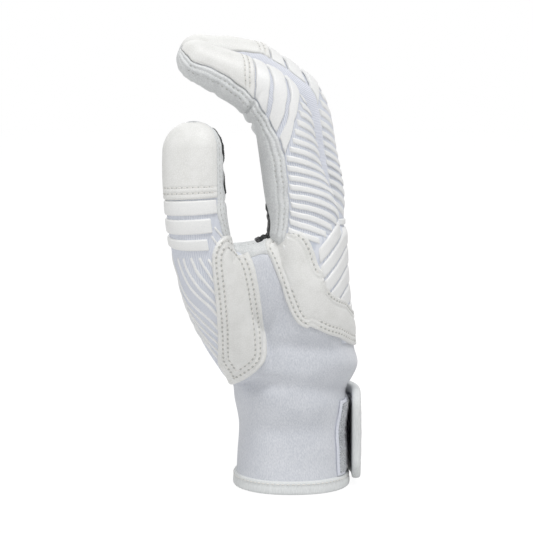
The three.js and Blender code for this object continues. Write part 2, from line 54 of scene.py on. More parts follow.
# All lengths below are millimetres from the middle of the wrist at the hem, as the glove stands:
# palm towards -X, thumb side towards -Y, fingers up.
hemLow, hemHigh = [np.array(corner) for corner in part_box("hem_binding")]
wristAxis = np.array([(hemLow[0] + hemHigh[0]) / 2 - 0.0006, (hemLow[1] + hemHigh[1]) / 2, hemLow[2]])


def inScene(points):
    return np.asarray(points, float) * 0.001 + wristAxis


def ease(t):
    t = np.clip(t, 0, 1)
    return t * t * (3 - 2 * t)


def along(pairs, at):
    # a value that passes softly from one [place, value] pair to the next
    at = np.asarray(at, float)
    value = np.full(at.shape, float(pairs[0][1]))
    for (a, va), (b, vb) in zip(pairs, pairs[1:]):
        value = np.where(at > a, va + (vb - va) * ease((at - a) / (b - a)), value)
    return value


def roundEdge(distance, radius):
    inner = 1 - np.clip(distance / radius, 0, 1)
    return np.sqrt(np.maximum(0, 1 - inner * inner))


def hump(value, at, width):
    return np.exp(-(((value - at) / width) ** 2))


def ripple(a, b, seed):
    # low soft waves for cloth and leather, the same at each run
    total = 0
    for k in range(5):
        turn = 1.7 * seed + 2.4 * k
        total = total + np.sin(a * math.cos(turn) * (1 + 0.35 * k) + b * math.sin(turn) * (1 + 0.35 * k)
                               + 5 * turn) / (1 + 0.5 * k)
    return total / 2.6


def bent(value, power):
    return np.sign(value) * np.abs(value) ** power


def sample(place, run, line):
    # points of a line, or values beside it, at distances along it
    return np.stack([np.interp(place, run, line[:, k]) for k in range(line.shape[1])], -1)


# Tubes: every finger, the thumb, the hand and the web follow one line, with a depth and a width along it.
def makeTube(s, centre, normal, side, halfDepth, halfWidth, length, dome, power=2.3):
    return {"s": s, "centre": centre, "normal": normal, "side": side, "halfDepth": halfDepth,
            "halfWidth": halfWidth, "length": length, "dome": dome, "power": power}


def at(tube, key, s):
    values = tube[key]
    if np.ndim(values) == 0:
        return np.full(np.shape(s), float(values))
    if np.ndim(values) == 1:
        return np.interp(s, tube["s"], values)
    return sample(s, tube["s"], values)


def tubePoint(tube, s, angle, lift=0.0):
    # angle 0 is the back of the finger, 180 degrees its palm side
    domeStart = tube["length"] - tube["dome"]
    share = np.clip((s - domeStart) / tube["dome"], 0, 1)
    shrink = np.sqrt(np.maximum(0, 1 - share * share))
    place = np.where(s < domeStart, s, domeStart + (tube["dome"] + lift) * share)
    bend = 2 / at(tube, "power", s)
    c, d = np.cos(angle), np.sin(angle)
    depth = bent(c, bend) * (at(tube, "halfDepth", s) + lift) * shrink
    width = bent(d, bend) * (at(tube, "halfWidth", s) + lift) * shrink
    out = at(tube, "normal", place) * depth[..., None]
    return at(tube, "centre", place) + out + at(tube, "side", place) * width[..., None]


def tubePlace(tube, points):
    # distance along and turn round a tube for places near it
    s = np.arange(0, tube["length"], 0.5)
    centres = at(tube, "centre", s)
    parts = np.array_split(points, 60)  # in parts, to spare memory
    s = s[np.concatenate([np.argmin(((part[:, None] - centres) ** 2).sum(-1), 1) for part in parts])]
    normal, side = at(tube, "normal", s), at(tube, "side", s)
    offset = points - at(tube, "centre", s)
    ahead = np.cross(normal, side)
    s = s + np.sum(offset * ahead, 1)
    return s, np.arctan2(np.sum(offset * side, 1), np.sum(offset * normal, 1))


handShape = {"profile": [[-8, 0.6, 52.8, 67.6, 2.2], [0, 0.6, 51, 66, 2.2], [12.15, 0.6, 49.2, 63.6, 2.2],
                         [27, 0.6, 48, 62, 2.2], [45, 0, 53, 68.5, 2.2], [57, 1.5, 55, 73, 2.3],
                         [76, 4.25, 47, 80, 2.5], [95, 6.5, 39, 85.3, 2.7], [116, 7.5, 35, 87, 3],
                         [130, 7.5, 33, 87, 3]], "top": 121, "dome": 5, "softness": 3}
fingerShapes = {
    "index": {"place": -1.5, "set": -0.19, "rise": 0, "size": 1, "tipScale": 1, "lengths": (48.48, 24.5, 21.67),
              "leans": (2, 13.2, 63, 66.2),
              "sunk": [(0, 0), (8, -0.4), (14, 0.6), (20, 1.8), (28, 2.2), (38, 0.8), (50, -0.8), (56, -0.8),
                       (62, 0), (72, 0.8), (94, 1.8), (106, 1.0)]},
    "middle": {"place": -0.5, "set": 0.2, "rise": 0, "size": 1, "tipScale": 1.17, "lengths": (48, 30.25, 25.63),
               "leans": (-2.5, 6.7, 59.5, 81.3),
               "sunk": [(0, 0), (30, -0.8), (52, -1.7), (58, -1.6), (66, 0), (74, -0.3), (82, -1.3), (92, 0),
                        (103, 1), (115, 0)]},
    "ring": {"place": 0.5, "set": 0.13, "rise": 0, "size": 0.97, "tipScale": 0.98, "lengths": (46.08, 25, 22),
             "leans": (2, 12, 58, 76)},
    "pinky": {"place": 1.5, "set": -0.2, "rise": -0.45, "size": 0.9, "tipScale": 0.9,
              "lengths": (40.8, 21, 20.02), "leans": (2, 14, 38, 50)},
}
fingerBase = {"pitch": 21.925, "gap": 0.7, "height": 116, "knuckleSet": 7.5, "knuckleRise": 11,
              "thickness": (31, 24.5, 18.5), "tipWidth": 0.86, "cloth": 0.8}
thumbShape = {"path": [[-17.2, -24.38, 56.75], [-28.165, -37.1, 76.49], [-35.475, -46.64, 96.23],
                       [-39.345, -51.145, 113.5], [-41.495, -53, 131.6], [-42.355, -51.41, 164.5]],
              "stall": 57, "width": 26.4, "depth": 21, "base": 30, "cloth": 0.8}
webShape = {"height": 46, "top": 110, "thickness": 19, "rootShare": 0.8, "lifted": 5.5, "raised": 3.4,
            "corner": 10}


def makeHand():
    rows = np.array(handShape["profile"], float)
    step, reach = 0.25, 40
    s = np.arange(rows[0, 0], rows[-1, 0], step)
    kernel = np.exp(-0.5 * (np.arange(-reach, reach + 1) * step / handShape["softness"]) ** 2)
    kernel /= kernel.sum()

    def soft(column):
        values = np.interp(s, rows[:, 0], rows[:, column])
        before, after = 2 * values[0] - values[reach:0:-1], 2 * values[-1] - values[-2:-reach - 2:-1]
        padded = np.concatenate([before, values, after])
        return np.convolve(padded, kernel, "valid")

    centre = np.stack([soft(1), 0 * s, s], -1)
    ones = np.ones((len(s), 1))
    return makeTube(s, centre, ones * [1, 0, 0], ones * [0, 1, 0], soft(2) / 2, soft(3) / 2,
                    handShape["top"], handShape["dome"], soft(4))


def makeFinger(shape):
    base = fingerBase
    start = np.array([base["knuckleSet"] * (1 + shape["set"]), shape["place"] * base["pitch"], base["height"]])
    proximal, middle, end = shape["lengths"]
    knuckle = base["knuckleRise"] * (1 + shape["rise"])
    joints = [knuckle, knuckle + proximal, knuckle + proximal + middle]
    length = joints[2] + end
    spread = [base["knuckleRise"], proximal * 0.35, middle / 2]
    step = 0.1
    s = np.arange(-20, length + 15, step)
    lean = np.full(s.shape, float(shape["leans"][0]))
    for k, joint in enumerate(joints):
        turn = shape["leans"][k + 1] - shape["leans"][k]
        lean += turn * ease((s - joint + spread[k]) / (2 * spread[k]))
    lean = np.radians(lean)
    x, z = np.cumsum(-np.sin(lean)) * step, np.cumsum(np.cos(lean)) * step
    first = np.argmin(np.abs(s))
    centre = np.stack([start[0] + x - x[first], np.full(s.shape, start[1]), start[2] + z - z[first]], -1)
    normal = np.stack([np.cos(lean), 0 * s, np.sin(lean)], -1)
    side = np.ones((len(s), 1)) * [0, 1, 0]
    thick = [t * shape["size"] for t in base["thickness"]]
    half = (base["pitch"] - base["gap"]) / 2
    # the sewn layers stand up to the finger's outline, so what carries them is thinner by the cloth
    cloth = base["cloth"] * ease((s + 2) / 8)
    hollow = along(shape.get("sunk", [(0, 0)]), s)
    depth = along([(knuckle, thick[0]), (joints[1], thick[1]), (length, thick[2])], s) / 2 - cloth - hollow / 2
    centre = centre - normal * (hollow / 2)[:, None]
    width = along([(joints[1], half), (length, half * base["tipWidth"])], s) - cloth * 0.6
    tube = makeTube(s, centre, normal, side, depth, width, length, thick[2] / 2)
    tube["joints"] = joints
    return tube


def softCurve(points, steps=60):
    # a smooth line through points, evenly close to what the pattern pieces are cut to
    points = np.array(points, float)
    before, after = 2 * points[0] - points[1], 2 * points[-1] - points[-2]
    p = np.concatenate([[before], points, [after]])
    out = []
    for i in range(len(points) - 1):
        p0, p1, p2, p3 = p[i:i + 4]
        a, b, c = [math.sqrt(max(1e-9, np.linalg.norm(q - r))) for q, r in ((p1, p0), (p2, p1), (p3, p2))]
        t1 = ((p1 - p0) / a - (p2 - p0) / (a + b) + (p2 - p1) / b) * b
        t2 = ((p2 - p1) / b - (p3 - p1) / (b + c) + (p3 - p2) / c) * b
        t = np.linspace(0, 1, steps, endpoint=i == len(points) - 2)[:, None]
        out.append(p1 + t1 * t + (-3 * p1 + 3 * p2 - 2 * t1 - t2) * t ** 2 + (2 * p1 - 2 * p2 + t1 + t2) * t ** 3)
    return np.concatenate(out)


def unit(vectors):
    return vectors / np.maximum(1e-12, np.linalg.norm(vectors, axis=-1, keepdims=True))


def measured(line):
    return np.concatenate([[0], np.cumsum(np.linalg.norm(np.diff(line, axis=0), axis=1))])


def makeThumb():
    line = softCurve(thumbShape["path"])
    s = measured(line)
    length = s[-1]
    tangent = unit(np.gradient(line, s, axis=0))
    more = np.linspace(0.5, 14, 28)  # the line runs on straight past both its ends
    line = np.concatenate([line[0] - tangent[0] * more[::-1, None], line, line[-1] + tangent[-1] * more[:, None]])
    tangent = np.concatenate([np.repeat(tangent[:1], 28, 0), tangent, np.repeat(tangent[-1:], 28, 0)])
    s = np.concatenate([-more[::-1], s, length + more])
    nail = np.array([-0.25, -1, 0])  # the way the back of the thumb faces
    normal = unit(nail - tangent * (tangent @ nail)[:, None])
    depth, width, base = thumbShape["depth"], thumbShape["width"], thumbShape["base"]
    start = length - thumbShape["stall"]
    cloth = along([(0, 2.6), (26, 1.8), (44, thumbShape["cloth"])], s)
    halfDepth = along([(0, base), (start, depth * 1.07), (length, depth * 0.86)], s) / 2 - cloth
    halfWidth = along([(0, base), (start, width), (length, width * 0.94)], s) / 2 - cloth
    tube = makeTube(s, line, normal, np.cross(tangent, normal), halfDepth, halfWidth, length, depth * 0.55)
    tube["start"] = start
    return tube


def makeWeb(thumb):
    web = webShape
    root = thumb["start"] - 13 - web["height"] * 0.3
    start = at(thumb, "centre", root)
    thumbwards = np.cross(at(thumb, "normal", root), at(thumb, "side", root))
    end = np.array([4, -26.1, web["top"] + web["lifted"] - web["height"] / 2])
    dip = start + (end - start) * 0.42 - [0, 0, web["height"] * 0.03]
    share = np.linspace(0, 1, 60)[:, None]
    line = (1 - share) ** 2 * start + 2 * share * (1 - share) * dip + share ** 2 * end
    s = measured(line)
    tangent = unit(np.gradient(line, s, axis=0))
    up = thumbwards * (1 - share) + np.array([0, 0, 1]) * share
    up = unit(up - tangent * np.sum(up * tangent, 1)[:, None])
    line = line + up * (web["raised"] + web["corner"] * (1 - share) ** 2)
    half = web["height"] * (web["rootShare"] + (1 - web["rootShare"]) * share[:, 0]) / 2
    thin = np.full(len(s), web["thickness"] / 2)
    return makeTube(s, line, up, np.cross(tangent, up), half, thin, s[-1], 1, 2.2)


hand = makeHand()
fingers = {name: makeFinger(shape) for name, shape in fingerShapes.items()}
thumb = makeThumb()
web = makeWeb(thumb)
print("lines of the hand, fingers and thumb laid out")


# Materials
def linear(hexColour):
    # an sRGB hex colour as Blender's linear numbers
    channels = [int(hexColour[i:i + 2], 16) / 255 for i in (1, 3, 5)]
    return tuple(c / 12.92 if c <= 0.04045 else ((c + 0.055) / 1.055) ** 2.4 for c in channels) + (1.0,)


def addNode(material, kind, settings=None, links=None, ramp=()):
    # one node: settings by attribute or socket, what is plugged into it, and (position, colour) of a ramp's
    # two ends
    node = material.node_tree.nodes.new("ShaderNode" + kind)
    for key, value in (settings or {}).items():
        if isinstance(key, str) and hasattr(node, key):
            setattr(node, key, value)
        else:
            node.inputs[key].default_value = value
    for key, source in (links or {}).items():
        material.node_tree.links.new(source, node.inputs[key])
    for k, (position, colour) in enumerate(ramp):
        node.color_ramp.elements[k].position = position
        node.color_ramp.elements[k].color = linear(colour)
    return node


def startMaterial(name, colour, roughness, sheen=0.0, coat=0.0):
    # a new material, its texture coordinates, and the object's places in millimetres
    material = bpy.data.materials.new(name)
    material.use_nodes = True
    shader = material.node_tree.nodes["Principled BSDF"]
    for socket, value in (("Base Color", linear(colour)), ("Roughness", roughness), ("Sheen Weight", sheen),
                          ("Coat Weight", coat)):
        shader.inputs[socket].default_value = value
    place = addNode(material, "TexCoord")
    where = addNode(material, "VectorMath", {"operation": "SCALE", "Scale": 1000.0}, {0: place.outputs["Object"]})
    return material, place, where.outputs["Vector"]


def plug(material, source, socket):
    material.node_tree.links.new(source, material.node_tree.nodes["Principled BSDF"].inputs[socket])


def finishMaterial(material, tone, ends, height, strength, depth):
    # the tone's two ends become colours, and the height a bump of a depth in metres
    colour = addNode(material, "ValToRGB", None, {"Fac": tone.outputs["Value"]}, ends)
    plug(material, colour.outputs["Color"], "Base Color")
    bump = addNode(material, "Bump", {"Strength": strength, "Distance": depth}, {"Height": height})
    plug(material, bump.outputs["Normal"], "Normal")
    return material


# A wave texture of scale 0.314 / pitch has one band each pitch
bandScale = 0.314


# Ribbed polyester knit: fine ribs crossed by the smaller rows of loops, with painted shade in the grooves: the
# colour goes darker where ribs and loops are low, and varies in broad blotches
def makeKnit(name, light, dark, pitch, depth, across=False):
    material, place, where = startMaterial(name, light, 0.8, sheen=0.2)
    cloth = addNode(material, "VectorMath", {"operation": "SCALE", "Scale": 1000.0}, {0: place.outputs["UV"]})
    ribs = addNode(material, "TexWave", {"bands_direction": "X" if across else "Y", "Scale": bandScale / pitch,
                                         "Distortion": 0.7, "Detail": 1.0, "Detail Scale": 2.0},
                   {"Vector": cloth.outputs["Vector"]})
    loops = addNode(material, "TexWave", {"bands_direction": "Y" if across else "X",
                                          "Scale": bandScale / (pitch * 0.75), "Distortion": 0.5},
                    {"Vector": cloth.outputs["Vector"]})
    blotch = addNode(material, "TexNoise", {"Scale": 0.09, "Detail": 3.0}, {"Vector": where})
    height = addNode(material, "Math", {"operation": "MULTIPLY_ADD", 1: 0.35},
                     {0: loops.outputs["Fac"], 2: ribs.outputs["Fac"]})
    # colour from the same height as the bump: painted shade in the low places, plus broad blotches
    tone = addNode(material, "Math", {"operation": "MULTIPLY_ADD", 1: 0.6},
                   {0: blotch.outputs["Fac"], 2: height.outputs["Value"]})
    return finishMaterial(material, tone, [(0.3, dark), (1.0, light)], height.outputs["Value"], 0.7, depth)


# Goat leather: small pebbled grain about 1 mm wide with pores, soft wear lightening on the raised parts
def makeLeather(name, light, dark, grain, depth, roughness):
    material, place, where = startMaterial(name, light, roughness, coat=0.04)
    cells = addNode(material, "TexVoronoi", {"feature": "DISTANCE_TO_EDGE", "Scale": 1 / grain,
                                             "Randomness": 1.0}, {"Vector": where})
    fine = addNode(material, "TexNoise", {"Scale": 2.2 / grain, "Detail": 4.0}, {"Vector": where})
    wear = addNode(material, "TexNoise", {"Scale": 0.16, "Detail": 6.0, "Roughness": 0.62, "Distortion": 0.5},
                   {"Vector": where})
    pebbles = addNode(material, "Math", {"operation": "MINIMUM", 1: 0.22}, {0: cells.outputs["Distance"]})
    grained = addNode(material, "Math", {"operation": "MULTIPLY_ADD", 1: 0.25},
                      {0: fine.outputs["Fac"], 2: pebbles.outputs["Value"]})
    height = addNode(material, "Math", {"operation": "MULTIPLY_ADD", 1: 1.1},
                     {0: wear.outputs["Fac"], 2: grained.outputs["Value"]})
    tone = addNode(material, "Math", {"operation": "MULTIPLY_ADD", 1: 1.4},
                   {0: pebbles.outputs["Value"], 2: wear.outputs["Fac"]})
    rough = addNode(material, "MapRange", {"From Min": 0.3, "From Max": 0.7, "To Min": roughness - 0.07,
                                           "To Max": roughness + 0.1},
                    {"Value": wear.outputs["Fac"]})
    plug(material, rough.outputs["Result"], "Roughness")
    return finishMaterial(material, tone, [(0.35, dark), (0.82, light)], height.outputs["Value"], 0.55, depth)


# Moulded or woven parts with one fine pattern: a fleck and a bump of a given size
def makePlain(name, light, dark, size, depth, roughness, sheen=0.0, coat=0.0, stretch=(1, 1, 1), detail=2.0,
              spread=(0.45, 0.9)):
    material, place, where = startMaterial(name, light, roughness, sheen=sheen, coat=coat)
    turned = addNode(material, "Mapping", {"Scale": stretch}, {"Vector": where})
    fleck = addNode(material, "TexNoise", {"Scale": 1 / size, "Detail": detail},
                    {"Vector": turned.outputs["Vector"]})
    broad = addNode(material, "TexNoise", {"Scale": 0.06, "Detail": 3.0}, {"Vector": where})
    tone = addNode(material, "Math", {"operation": "MULTIPLY_ADD", 1: 0.45},
                   {0: broad.outputs["Fac"], 2: fleck.outputs["Fac"]})
    return finishMaterial(material, tone, [(spread[0], dark), (spread[1], light)], fleck.outputs["Fac"], 0.6,
                          depth)


# Silicone grip printed on leather: black, half dull, with a raised pattern of small diamonds
def makeGrip(name, light, dark, pitch, depth):
    material, place, where = startMaterial(name, light, 0.48, coat=0.05)
    turned = addNode(material, "Mapping", {"Rotation": (0.78, 0.6, 0.78)}, {"Vector": where})
    across, down = [addNode(material, "TexWave", {"bands_direction": way, "Scale": bandScale / pitch},
                            {"Vector": turned.outputs["Vector"]})
                    for way in "YZ"]
    diamonds = addNode(material, "Math", {"operation": "MULTIPLY"},
                       {0: across.outputs["Fac"], 1: down.outputs["Fac"]})
    wear = addNode(material, "TexNoise", {"Scale": 0.35, "Detail": 5.0}, {"Vector": where})
    tone = addNode(material, "Math", {"operation": "MULTIPLY_ADD", 1: 0.6},
                   {0: diamonds.outputs["Value"], 2: wear.outputs["Fac"]})
    return finishMaterial(material, tone, [(0.35, dark), (0.95, light)], diamonds.outputs["Value"], 0.8, depth)


# What each material is made of and how: jersey knitted in ribs, goat leather drummed to a grain, polyurethane
# moulded half gloss, neoprene faced with brushed jersey, polyester tape, printed silicone, brushed loops and
# moulded hooks of nylon, bonded thread, and rubber strands covered with yarn. A pitch or grain finer than a
# pixel is drawn coarser.
materials = {
    # the knits' darker colours are painted shade in their grooves
    "knit": makeKnit("ribbed_knit", "#dfe2ea", "#c3c9d5", 0.7, 0.00011),
    "wallKnit": makeKnit("mesh_knit", "#e6e8f0", "#cbd0dc", 0.62, 0.00013, across=True),
    "whiteLeather": makeLeather("white_goat_leather", "#e8e8e6", "#dcdcd9", 0.9, 0.00009, 0.5),
    "palmLeather": makeLeather("palm_goat_leather", "#dfe1e1", "#cacccd", 1.2, 0.00016, 0.52),
    "moulded": makePlain("moulded_polyurethane", "#eeeeed", "#e5e6e6", 0.5, 0.00003, 0.42, coat=0.05),
    "neoprene": makePlain("jersey_on_neoprene", "#dcdee3", "#bfc3cb", 0.42, 0.00014, 0.85, sheen=0.25,
                          stretch=(1, 1, 0.4), detail=4.0, spread=(0.45, 0.95)),
    "tape": makePlain("woven_binding_tape", "#e2e4e4", "#cfd2d2", 0.3, 0.00012, 0.7, sheen=0.15,
                      stretch=(1, 1, 0.12)),
    "grip": makeGrip("printed_silicone_grip", "#2a2b2d", "#121314", 1.7, 0.0005),
    "loop": makePlain("loop_pile", "#c3c6ca", "#63676d", 0.55, 0.0012, 0.95, sheen=0.4, detail=5.0,
                      spread=(0.52, 0.8)),
    "hook": makePlain("hook_tape", "#c6c9cd", "#9a9da2", 0.6, 0.0006, 0.6),
    "thread": makePlain("bonded_nylon_thread", "#eceae6", "#d5d3cd", 0.2, 0.00004, 0.5),
    # the needle holes' grey is painted shade in the holes
    "hole": makePlain("needle_hole_shade", "#c1c2be", "#b1b2af", 0.4, 0.00004, 0.8),
    "elastic": makePlain("covered_elastic", "#d9dbdf", "#b7bac0", 0.3, 0.0002, 0.75, stretch=(1, 1, 0.2)),
}
print("materials mixed")


# Panels of cloth and leather
def deselectAll():
    bpy.ops.object.select_all(action="DESELECT")


def choose(piece):
    deselectAll()
    piece.select_set(True)
    bpy.context.view_layer.objects.active = piece


def applyModifier(piece, kind, **settings):
    choose(piece)
    bpy.ops.object.modifier_add(type=kind)
    modifier = piece.modifiers[-1]
    for key, value in settings.items():
        setattr(modifier, key, value)
    bpy.ops.object.modifier_apply(modifier=modifier.name)


def editAll(piece, *steps):
    # mesh operators with their settings, over the whole piece
    choose(piece)
    bpy.ops.object.mode_set(mode="EDIT")
    bpy.ops.mesh.select_all(action="SELECT")
    for operator, settings in steps:
        operator(**settings)
    bpy.ops.object.mode_set(mode="OBJECT")


def newPiece(name, points, faces):
    mesh = bpy.data.meshes.new(name)
    mesh.from_pydata(inScene(points).tolist(), [], faces)
    mesh.update()
    piece = bpy.data.objects.new(name, mesh)
    bpy.context.scene.collection.objects.link(piece)
    return piece


def setUv(piece, places):
    # the place of each point in its flat cut, in metres
    loops = np.empty(len(piece.data.loops), int)
    piece.data.loops.foreach_get("vertex_index", loops)
    if not piece.data.uv_layers:
        piece.data.uv_layers.new(name="UVMap")
    piece.data.uv_layers[0].data.foreach_set("uv", (places[loops % len(places)] * 0.001).ravel())


def dress(piece, finish, angle=50):
    # material, slot and smooth faces with crisp cut edges
    piece.data.materials.clear()
    piece.data.materials.append(materials[finish])
    choose(piece)
    bpy.ops.object.shade_smooth_by_angle(angle=math.radians(angle))
    return piece


def vertexArray(piece):
    values = np.empty(len(piece.data.vertices) * 3)
    piece.data.vertices.foreach_get("co", values)
    return values.reshape(-1, 3)


def setVertices(piece, points):
    piece.data.vertices.foreach_set("co", np.ascontiguousarray(points, float).ravel())
    piece.data.update()


def wrapPanel(name, grid, shape, thickness=0.0, closed=False):
    # a flat rectangular cut is laid on the glove: shape(u, v, extra) gives each point's place and its place
    # in the cut, and extra is a lift for finding the outside
    deselectAll()
    bpy.ops.mesh.primitive_grid_add(x_subdivisions=grid[0], y_subdivisions=grid[1], size=1)
    piece = bpy.context.object
    piece.name = name
    flat = vertexArray(piece) + 0.5
    u, v = flat[:, 0], flat[:, 1]
    points, cloth = shape(u, v, 0.0)
    outward = shape(u, v, 0.5)[0] - points
    setVertices(piece, inScene(points))
    setUv(piece, cloth)
    normals = np.array([p.normal for p in piece.data.polygons])
    corners = np.array([p.vertices[0] for p in piece.data.polygons])
    if np.sum(normals * outward[corners]) < 0:
        editAll(piece, (bpy.ops.mesh.flip_normals, {}))
    if closed:
        # the seam and the poles of a tube
        editAll(piece, (bpy.ops.mesh.remove_doubles, {"threshold": 0.00002}),
                (bpy.ops.mesh.dissolve_degenerate, {"threshold": 0.000001}))
    if thickness:
        applyModifier(piece, "SOLIDIFY", thickness=thickness * 0.001, offset=-1, use_even_offset=False)
    return piece


def joinPieces(pieces, name):
    deselectAll()
    for piece in pieces:
        piece.select_set(True)
    bpy.context.view_layer.objects.active = pieces[0]
    if len(pieces) > 1:
        bpy.ops.object.join()
    pieces[0].name = name
    return pieces[0]


def denseEnds(u, share=0.55):
    return u * (1 - share) + (1 - np.cos(np.pi * u)) / 2 * share


fingerRadius = 12  # roughly, for places in a flat cut


def radiusAt(tube, s):
    return (at(tube, "halfDepth", s) + at(tube, "halfWidth", s)) / 2


# Sewing: threads and needle holes are laid along lines of (point, normal); the holes are small grey beads,
# painted shade in the holes
stitch = {"pitch": 2.3, "length": 1.45, "radius": 0.26, "holeLength": 0.62, "holeWidth": 0.42, "slitLength": 1.1,
          "slitWidth": 0.34, "dimple": 1.05}


def beadShape(length, radius, flat=1.0, rings=5, sides=7):
    rows = [[(-length / 2 * math.cos(math.pi * i / (rings - 1))),
             radius * math.sin(math.pi * i / (rings - 1)) ** 0.5] for i in range(rings)]
    points = []
    for x, r in rows:
        for k in range(sides):
            a = 2 * math.pi * k / sides
            points.append((x, r * math.cos(a), r * math.sin(a) * flat))
    faces = []
    for i in range(rings - 1):
        for k in range(sides):
            faces.append((i * sides + k, i * sides + (k + 1) % sides, (i + 1) * sides + (k + 1) % sides,
                          (i + 1) * sides + k))
    faces.append(tuple(range(sides))[::-1])
    faces.append(tuple((rings - 1) * sides + k for k in range(sides)))
    return np.array(points), faces


def layBeads(name, places, bead):
    # copies of one bead along seam lines, each with its own turn
    points, faces = bead
    allPoints, allFaces = [], []
    for point, ahead, normal in places:
        side = np.cross(normal, ahead)
        base = len(allPoints) * len(points)
        allPoints.append(point + points[:, :1] * ahead + points[:, 1:2] * side + points[:, 2:] * normal)
        allFaces.extend([tuple(base + i for i in face) for face in faces])
    piece = newPiece(name, np.concatenate(allPoints), allFaces)
    editAll(piece, (bpy.ops.mesh.normals_make_consistent, {"inside": False}))
    return piece


def seamPlaces(line, normals, offset=0.0, lift=0.0):
    # even places along a line, with the line's direction and the cloth's normal there
    s = measured(line)
    count = max(2, int(s[-1] / stitch["pitch"]))
    spots = (np.arange(count) + 0.5 + offset) * s[-1] / count
    spots = spots[spots < s[-1]]
    point, normal = sample(spots, s, line), unit(sample(spots, s, normals))
    run = unit(sample(spots + 0.4, s, line) - sample(spots - 0.4, s, line))
    run = unit(run - normal * np.sum(run * normal, 1)[:, None])
    return list(zip(point + normal * lift, run, normal))


def tubeLine(tube, s, angle, lift):
    point = tubePoint(tube, s, angle, lift)
    return point, unit(tubePoint(tube, s, angle, lift + 0.5) - point)


threads, holes = {}, {}


def sew(key, line, normals, lift=0.0, threadToo=True):
    # one row of stitches: threads on the leather and the holes between them
    holes.setdefault(key, []).extend(seamPlaces(line, normals, 0.5, lift=lift))
    if threadToo:
        threads.setdefault(key, []).extend(seamPlaces(line, normals, 0.0, lift=lift))


# Fingers and thumb. Their seams are measured from the tip; the thumb's are [distance, slant], evenly tilted.
fingerCut = {
    "sleeveStart": -8,
    # seams over the back as [degrees round, distance from the tip]
    "capSeam": [[0, 28.6], [30, 30.4], [77, 34.3], [103, 37.9], [125, 41]],
    "bars": [[[[0, 29.1], [30, 30.9], [77, 34.8], [103, 38.4], [125, 41.5]],
              [[0, 33.6], [38, 37], [82, 41.8], [109, 47.5], [125, 51]]],
             [[[0, 34.6], [38, 38], [79, 43.3], [108, 50.1], [125, 54]],
              [[0, 40.2], [36, 43.6], [75, 49.6], [103, 58], [125, 65]]],
             [[[0, 41.7], [36, 45.2], [72, 51], [100, 60.6], [125, 69]],
              [[0, 45.5], [50, 51.7], [74, 56.8], [95, 68.2], [125, 84]]]],
    "stripeFirst": -10.85, "stripePitch": 4.28, "stripeCount": 20, "stripeWidth": 2.7, "stripeSlant": 13.2,
    "stripePoint": 7, "stripeRise": 0.72,
    "barRise": 1.0, "capRise": 1.05, "leatherRise": 0.95, "rows": (2.5, 4.7), "leatherRows": (1.7, 4.2),
}
# edge of the palm leather on the thumb side of the index finger: [distance along, degrees round]
indexEdge = [[-8, 134], [0, 120], [5, 116], [16.8, 107.5], [25.5, 100.5], [34, 98.5], [40.8, 102.5], [51, 114.5],
             [59.2, 116], [66.2, 109], [75.5, 100], [83.5, 93], [91, 91], [98.8, 95.5], [102.5, 88],
             [104.2, 78.5], [105.3, 60], [105.6, 0]]
# where the middle finger's bars and cap stop short of its side knit: [distance along, degrees round]
middleNear = [[-8, 63], [50, 63], [57, 53], [80, 54], [86, 63], [98, 76], [108, 88], [114, 90]]
# how far down the stripes go on each finger: [degrees round, distance along]
stripeFoot = {"index": [[-110, -10], [-79, -5], [-48, 1.8], [-1, 7], [110, 7.5]],
              "pinky": [[-110, 7.5], [1, 7], [48, 1.8], [79, -5], [110, -10]],
              "middle": [[-110, 7.5], [110, 7.5]], "ring": [[-110, 7.5], [110, 7.5]]}
thumbCut = {
    "sleeveStart": 45, "capSeam": [31.7, 0.0],
    "bars": [[[32.1, -0.2], [38.0, -0.2]], [[39.5, -0.3], [45.4, -0.4]], [[47.4, -0.7], [52.0, -1.2]]],
    "barEnds": (62, 43, 29),  # degrees round at which each bar stops
    "barRise": 1.0, "capRise": 1.1, "leatherRise": 0.95, "rows": (2.4, 4.7), "leatherRows": (1.9, 4.3),
    "handEdge": [[40, 84], [60, 78], [67, 74], [74, 67], [81, 60], [87, 66], [98.6, 68], [106.4, 68], [112, 72],
                 [116, 84], [118.6, 90]],
    "farEdge": [[0, 108], [112, 108], [118.6, 96]],
    # the middle of each stripe as (distance along, degrees round)
    "stripes": [[(64.1, -39), (60.8, -37), (57.2, -33), (52.7, -25), (49.1, -15), (44.6, -2), (38.3, 7),
                 (34, 12)],
                [(64.1, -23), (60.8, -22), (57.8, -18), (54.5, -12), (50.6, -4), (46.7, 4), (42.8, 12), (38, 17)],
                [(64.1, -7), (61.4, -5), (57.8, -2), (54.8, 3), (51.2, 10), (47.9, 17), (44, 23)],
                [(63.7, 6), (60.8, 9), (57.8, 14), (54.5, 19), (51, 25)],
                [(62.6, 21), (60.5, 25), (57.5, 30)],
                [(67, -100), (63, -80), (57.8, -61), (53.0, -55), (49.4, -47), (45.5, -33), (41.9, -19),
                 (37.4, -7), (32.3, 0), (28, 4)],
                [(57, -100), (52, -82), (48.2, -66), (44.3, -50), (40.4, -32), (35.6, -19), (28.7, -5), (25, 1)],
                [(50, -100), (46, -78), (42.5, -59), (38.0, -43), (33.5, -31), (29.0, -20), (25.1, -12),
                 (21, -6)],
                [(45, -100), (42, -72), (38.6, -52), (32.3, -42), (26.9, -32), (21.8, -21), (18, -14)],
                [(38, -100), (36, -70), (32.3, -50), (26.0, -39), (20.3, -33), (15, -24)],
                [(33, -100), (30, -66), (26.0, -46), (21.2, -37), (15, -28)],
                [(74.9, 48), (72.4, 58), (69.8, 67)],
                [(71.6, 38), (69.5, 43), (67.4, 49)]],
    "stripeWidth": 1.15, "stripeRise": 0.5,
}


# how the cloth lies: a fold across the palm side of each joint as (distance past it, depth), fine gathers at
# the tip and a soft unevenness everywhere
lie = {"uneven": 0.14, "wave": 6.5, "folds": ((7.5, 1.3), (2, 0.5)), "thumbFolds": ((84, 0.8), (100, 0.3)),
       "gather": 0.14, "gatherFrom": 16, "seeds": {"index": 1, "middle": 2, "ring": 3, "pinky": 4, "thumb": 5}}


